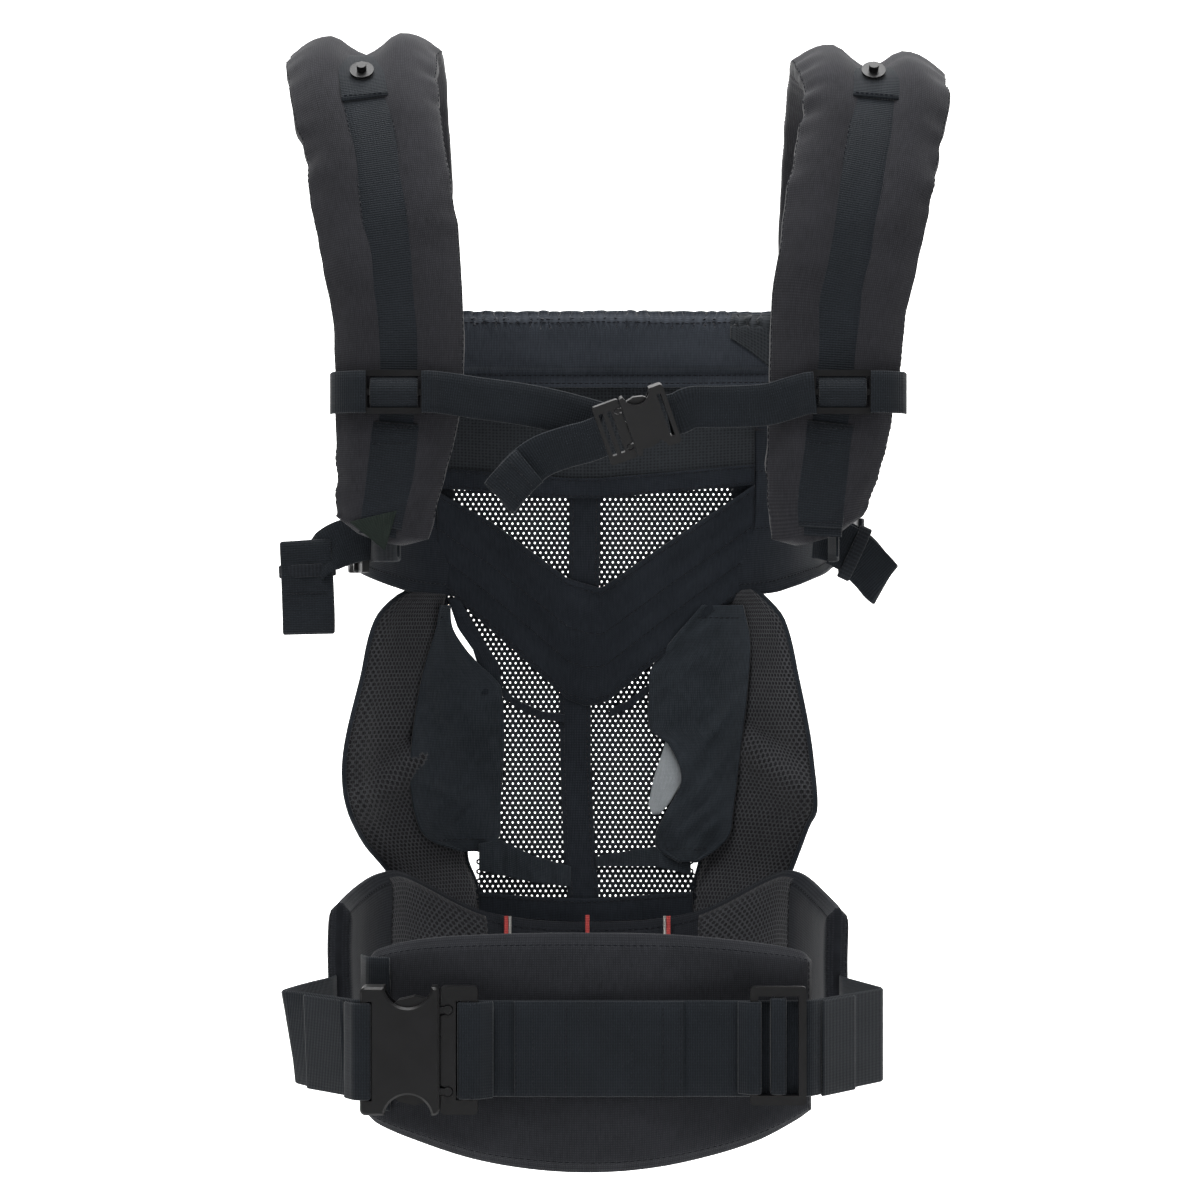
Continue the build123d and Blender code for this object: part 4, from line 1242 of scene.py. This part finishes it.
SLIDER_Y = (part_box("chest_slider_left")[0][1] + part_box("chest_slider_left")[1][1]) / 2 / MM
CHEST_Z = (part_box("chest_slider_left")[0][2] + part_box("chest_slider_left")[1][2]) / 2 / MM


def slider_x(name):
    low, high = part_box(f"chest_slider_{name}")
    return (low[0] + high[0]) / 2 / MM


def strap_edge(side):
    """The strap's outer edge, as wide as it gets where the chest strap slides."""
    frames = [strap_frame(side, t) for t in (0.82, 0.84, 0.865, 0.89)]
    return side * max(side * centre.x + width / 2 for centre, _, _, width, _ in frames)


def bent(points, count=60):
    """Path through given points, smoothed."""
    return [Vector(spline(points, i / count)) for i in range(count + 1)]


def chest_webbing():
    y = SLIDER_Y
    x = slider_x("left")
    path = bent([(x + 14.5, y - 2.9, 343.5), (x + 19, y - 3.0, 343.5), (x + 27, y + 1.5, 343.0),
                 (-58, y + 2.6, 340.5), (-36, y + 3.4, 337.5), (-16, y + 3.6, 333.5),
                 (6, y + 3.6, 327.5)], 70)
    obj = web("chest_web_left", path, lambda t: (0.16 * t, 0, 1), CHEST_WEB, 1.2, "chest_strap")
    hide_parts("chest_webbing_left")
    low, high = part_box("chest_buckle_housing")
    end = (high[0] / MM, (low[1] + high[1]) / 2 / MM)
    x = slider_x("right")
    path = bent([(x - 14.5, y - 2.9, 343.0), (x - 19, y - 3.0, 342.5), (x - 27, y + 0.8, 340.5),
                 (92, y + 1.0, 337.0), (70, y + 0.6, 335.8), (54, y - 1.0, 335.5),
                 (end[0] - 1.0, end[1] + 3.6, 332.5), (end[0] - 7.0, end[1] + 2.5, 331.0)], 80)
    obj = web("chest_web_right", path, lambda t: (-0.20 * t, -0.16 * t, 1), CHEST_WEB, 1.2, "chest_strap")
    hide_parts("chest_webbing_right")
    for name, side in SIDES.items():
        x = slider_x(name)
        edge = strap_edge(side)
        path = bent([(x + side * 14.5, y - 2.9, CHEST_Z), (x + side * 19.5, y - 3.0, CHEST_Z),
                     (edge - side * 6, y + 0.6, CHEST_Z), (edge - side * 0.6, y + 6.0, CHEST_Z),
                     (edge + side * 1.0, y + 13, CHEST_Z)], 34)
        web(f"chest_tab_{name}", path, UPRIGHT, CHEST_WEB, 1.2, "chest_strap")
        loop = []
        for k in range(25):
            t = k / 24
            bulge = 2.0 - 5.6 * math.sin(math.pi * t) ** 0.8
            loop.append(Vector((x, y + bulge, CHEST_Z + lerp(-9.5, 9.5, t))))
        web(f"slider_loop_{name}", loop, ACROSS, 25.0, 1.3, "chest_strap")
    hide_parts("chest_edge_tabs")
    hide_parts("chest_slider_loops")


def folded(points, body, name, start, end, width):
    """Webbing whose width turns from one direction to another along its path."""

    def way(t):
        return Vector(start).lerp(Vector(end), smooth(0.0, 0.75, t))

    return web(name, bent(points, 90), way, width, 1.3, body)


def chest_tail():
    """The loose end of the chest webbing, below the tongue."""
    points = [(6, -113.2, 320), (-1, -114.4, 317.2), (-13, -114.2, 314), (-25, -113.2, 309.5),
              (-35, -112.2, 302), (-43, -111.8, 292.5), (-46.6, -114.4, 288.0), (-43.6, -117.2, 291.8),
              (-35, -117.2, 301), (-31, -116.0, 304.5)]
    obj = folded(points, "chest_tongue", "chest_tail", (-0.33, -0.24, 0.91), (-0.66, 0, 0.75), CHEST_WEB)
    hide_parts("chest_buckle_webbing_tail")
    wide, lines = Vector((-0.66, 0, 0.75)), []
    for place in (Vector((-35.6, -118.1, 300.2)), Vector((-42.6, -118.1, 292.8))):
        lines.append([(place + wide * lerp(-9.5, 9.5, k / 9), NEAR) for k in range(10)])
    sew("chest_tail_stitches", lines, "chest_tongue", "webbing", 2.6, 2.0)


# ---------------------------------------------------------------- under the arms

# each free end: its path, its width's direction at the start and at the end, and its elastic keeper
TAILS = {
    "left": (
        [(-117, -39, 269), (-124, -41, 268.5), (-134, -42, 266), (-143, -41, 261.5), (-151, -39, 254)],
        (0.2, 0, 1), (0.5, 0, 0.86), ((-153.8, -39.6, 251), (1, 0, 0.05)),
    ),
    "right": (
        [(122, -37, 270), (127, -40, 269.5), (136, -41, 266.5), (146, -39, 260), (153.5, -36.5, 251.5),
         (158.5, -35.8, 245.6), (160.4, -37.6, 243.6), (158.5, -40.0, 245.6), (151.5, -41.2, 253),
         (143, -42.4, 261), (134, -43.2, 266)],
        (0.1, 0, 1), (0.52, 0, 0.85), ((144, -40.2, 260.5), (0.42, 0, 0.9)),
    ),
}
# the left tail's end, turned back on itself in one flat loop
TAIL_LOOP = [(-154.4, -37.6, 264.5), (-154.6, -39.6, 267.0), (-154.6, -42.2, 264.5), (-154.0, -43.4, 254),
             (-153.4, -43.8, 240), (-153.0, -43.2, 226), (-153.0, -41.4, 218.2), (-153.0, -38.6, 217.0),
             (-153.0, -36.6, 219.5), (-153.2, -36.0, 230), (-154.0, -36.4, 250), (-154.4, -37.4, 262)]
BUCKLE_Z = 268.0


def under_arms():
    leads, wings = [], []
    for name, side in SIDES.items():
        origin = Vector((7.5 + side * 133.0, -26.0, BUCKLE_Z))
        way = Vector((-side * 0.25, -1, 0)).normalized()
        out = Vector((side, -0.25, 0)).normalized()

        def spot(a, b, origin=origin, way=way, out=out):
            """Place this far along the buckle and this far out from its middle."""
            return tuple(origin + way * a + out * b)

        strap_x = UPPER_SHIFT + side * 116
        path = bent([spot(6, -3.4), spot(20, -3.4), spot(33, -3.8), (strap_x + side * 1, -74, BUCKLE_Z),
                     (strap_x, -86, BUCKLE_Z + 2)], 50)
        leads.append(web(f"strap_lead_{name}", path, UPRIGHT, STRAP_WEB, 1.2))
        path = along([spot(-42, 0.6), spot(-27.5, 5.4), spot(-20.5, 5.4), spot(-20.5, -5.4),
                      spot(-26.5, -5.4)], 50, 1.6)
        wings.append(web(f"wing_web_{name}", path, UPRIGHT, STRAP_WEB, 1.2))
        tail, start, end, ring = TAILS[name]
        body = f"underarm_tongue_{name}"
        obj = folded(tail, body, f"strap_tail_{name}", start, end, STRAP_WEB)
        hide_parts(f"strap_tail_{name}")
        if side < 0:
            folded(TAIL_LOOP, body, "strap_tail_end", (1, 0, 0.07), (1, 0, 0.02), 28.0)
            line = [(Vector((lerp(-165, -141, k / 9), -44.8, 238.5)), NEAR) for k in range(10)]
            sew("strap_tail_stitches", [line], body, "webbing", 2.6, 2.0)
        centre, wide, count = Vector(ring[0]), Vector(ring[1]).normalized(), 36
        band = []
        for k in range(count + 1):
            angle = 2 * math.pi * k / count
            band.append(centre + wide * 15.0 * math.sin(angle) - NEAR * 5.2 * math.cos(angle))
        keeper = ribbon(f"tail_keeper_{name}", band, steady(*NEAR.cross(wide)), 7.0, 1.2)
        dress(keeper, ELASTIC, body, "elastic")
        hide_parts(f"tail_keeper_{name}")

    def flap(u, v):
        return lerp(lerp(-126, -101, u), -107.5, v), -97.5 + 2.5 * v, lerp(lerp(276, 282, u), 261, v)

    obj = Cloth(flap, lambda u, v: 0.4, 10, 10).build("strap_lining_flap")
    dress(obj, GREEN_LINING, "carrier", "navy_cotton")
    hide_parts("strap_end_webbings")
    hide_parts("wing_webbings")


# ---------------------------------------------------------------- hardware that CAD made


def hardware():
    """Plastic for the nodes that keep their CAD shape."""
    words = ("housing", "latch", "triglide", "slider", "underarm_tongue")
    for name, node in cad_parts.items():
        plastic = any(word in name for word in words) or name.endswith("tongue")
        if "loop" in name or not (plastic or name == "strap_studs"):
            continue
        node.data.materials.clear()
        node.data.materials.append(STUD if name == "strap_studs" else PLASTIC)


# ---------------------------------------------------------------- stage


def paper(name, rows, glow):
    """Part of the pale backdrop, swept through (y, z) points."""
    mesh = bpy.data.meshes.new(name)
    points = [(x, y, z) for y, z in rows for x in (-5, 5)]
    mesh.from_pydata(points, [], [(2 * i, 2 * i + 1, 2 * i + 3, 2 * i + 2) for i in range(len(rows) - 1)])
    for polygon in mesh.polygons:
        polygon.use_smooth = True
    obj = bpy.data.objects.new(name, mesh)
    bpy.context.scene.collection.objects.link(obj)
    material, nodes, links, shader = new_material(name, (0.92, 0.92, 0.92), 0.9)
    fibre = cloudy(nodes, links, nodes.new("ShaderNodeTexCoord").outputs["Object"], 900.0, 2.0)
    bump(nodes, links, shader, fibre, 0.1, 0.0005)
    shader.inputs["Emission Color"].default_value = (1, 1, 1, 1)
    shader.inputs["Emission Strength"].default_value = glow
    mesh.materials.append(material)
    obj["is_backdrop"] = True


def studio():
    paper("floor", [(-6.0, -0.45), (0.0, -0.45), (1.0, -0.45), (1.5, -0.44)], 0.1)
    paper("wall", [(1.5, -0.44), (1.9, -0.34), (2.2, 0.0), (2.35, 0.5), (2.45, 1.4), (2.5, 4.0)], 1.1)
    world = bpy.data.worlds.new("studio")
    bpy.context.scene.world = world
    world.use_nodes = True
    world.node_tree.nodes["Background"].inputs["Color"].default_value = (1, 1, 1, 1)
    world.node_tree.nodes["Background"].inputs["Strength"].default_value = 0.30
    for name, place, aim, size, power in (
        ("key", (-0.6, -1.3, 2.5), (0, 0, 0.3), 1.2, 46), ("fill", (1.6, -1.6, 0.8), (0, 0, 0.25), 1.4, 8),
        ("top", (0.1, 0.1, 2.2), (0, 0, 0.3), 1.2, 48)
    ):
        light = bpy.data.lights.new(name, "AREA")
        light.shape = "SQUARE"
        light.size = size
        light.energy = power
        lamp = bpy.data.objects.new(name, light)
        lamp.location = place
        lamp.rotation_euler = (Vector(aim) - Vector(place)).to_track_quat("-Z", "Y").to_euler()
        bpy.context.scene.collection.objects.link(lamp)
    bpy.context.scene.view_settings.view_transform = "Standard"


def camera():
    data = bpy.data.cameras.new("camera")
    data.sensor_width = 36
    data.lens = 88.2
    data.clip_end = 20
    obj = bpy.data.objects.new("camera", data)
    obj.location = (0.0055, -1.640, 0.235)
    obj.rotation_euler = (math.radians(90), 0, 0)
    bpy.context.scene.collection.objects.link(obj)
    bpy.context.scene.camera = obj


camera()
studio()
for side_name, side_sign in SIDES.items():
    shoulder_strap(side_name, side_sign)
    strap_webbing(side_name, side_sign)
waistband()
lumbar_pad()
belt_webbing()
adjuster_loops()
panel_layers()
seat_leaves()
side_wings()
yoke_wings()
strap_roots()
head_support()
markers()
chest_webbing()
chest_tail()
under_arms()
hardware()

sizes = {"cad": CAD_BOX, "visual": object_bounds()}
{key: [list(corner) for corner in box] for key, box in sizes.items()}
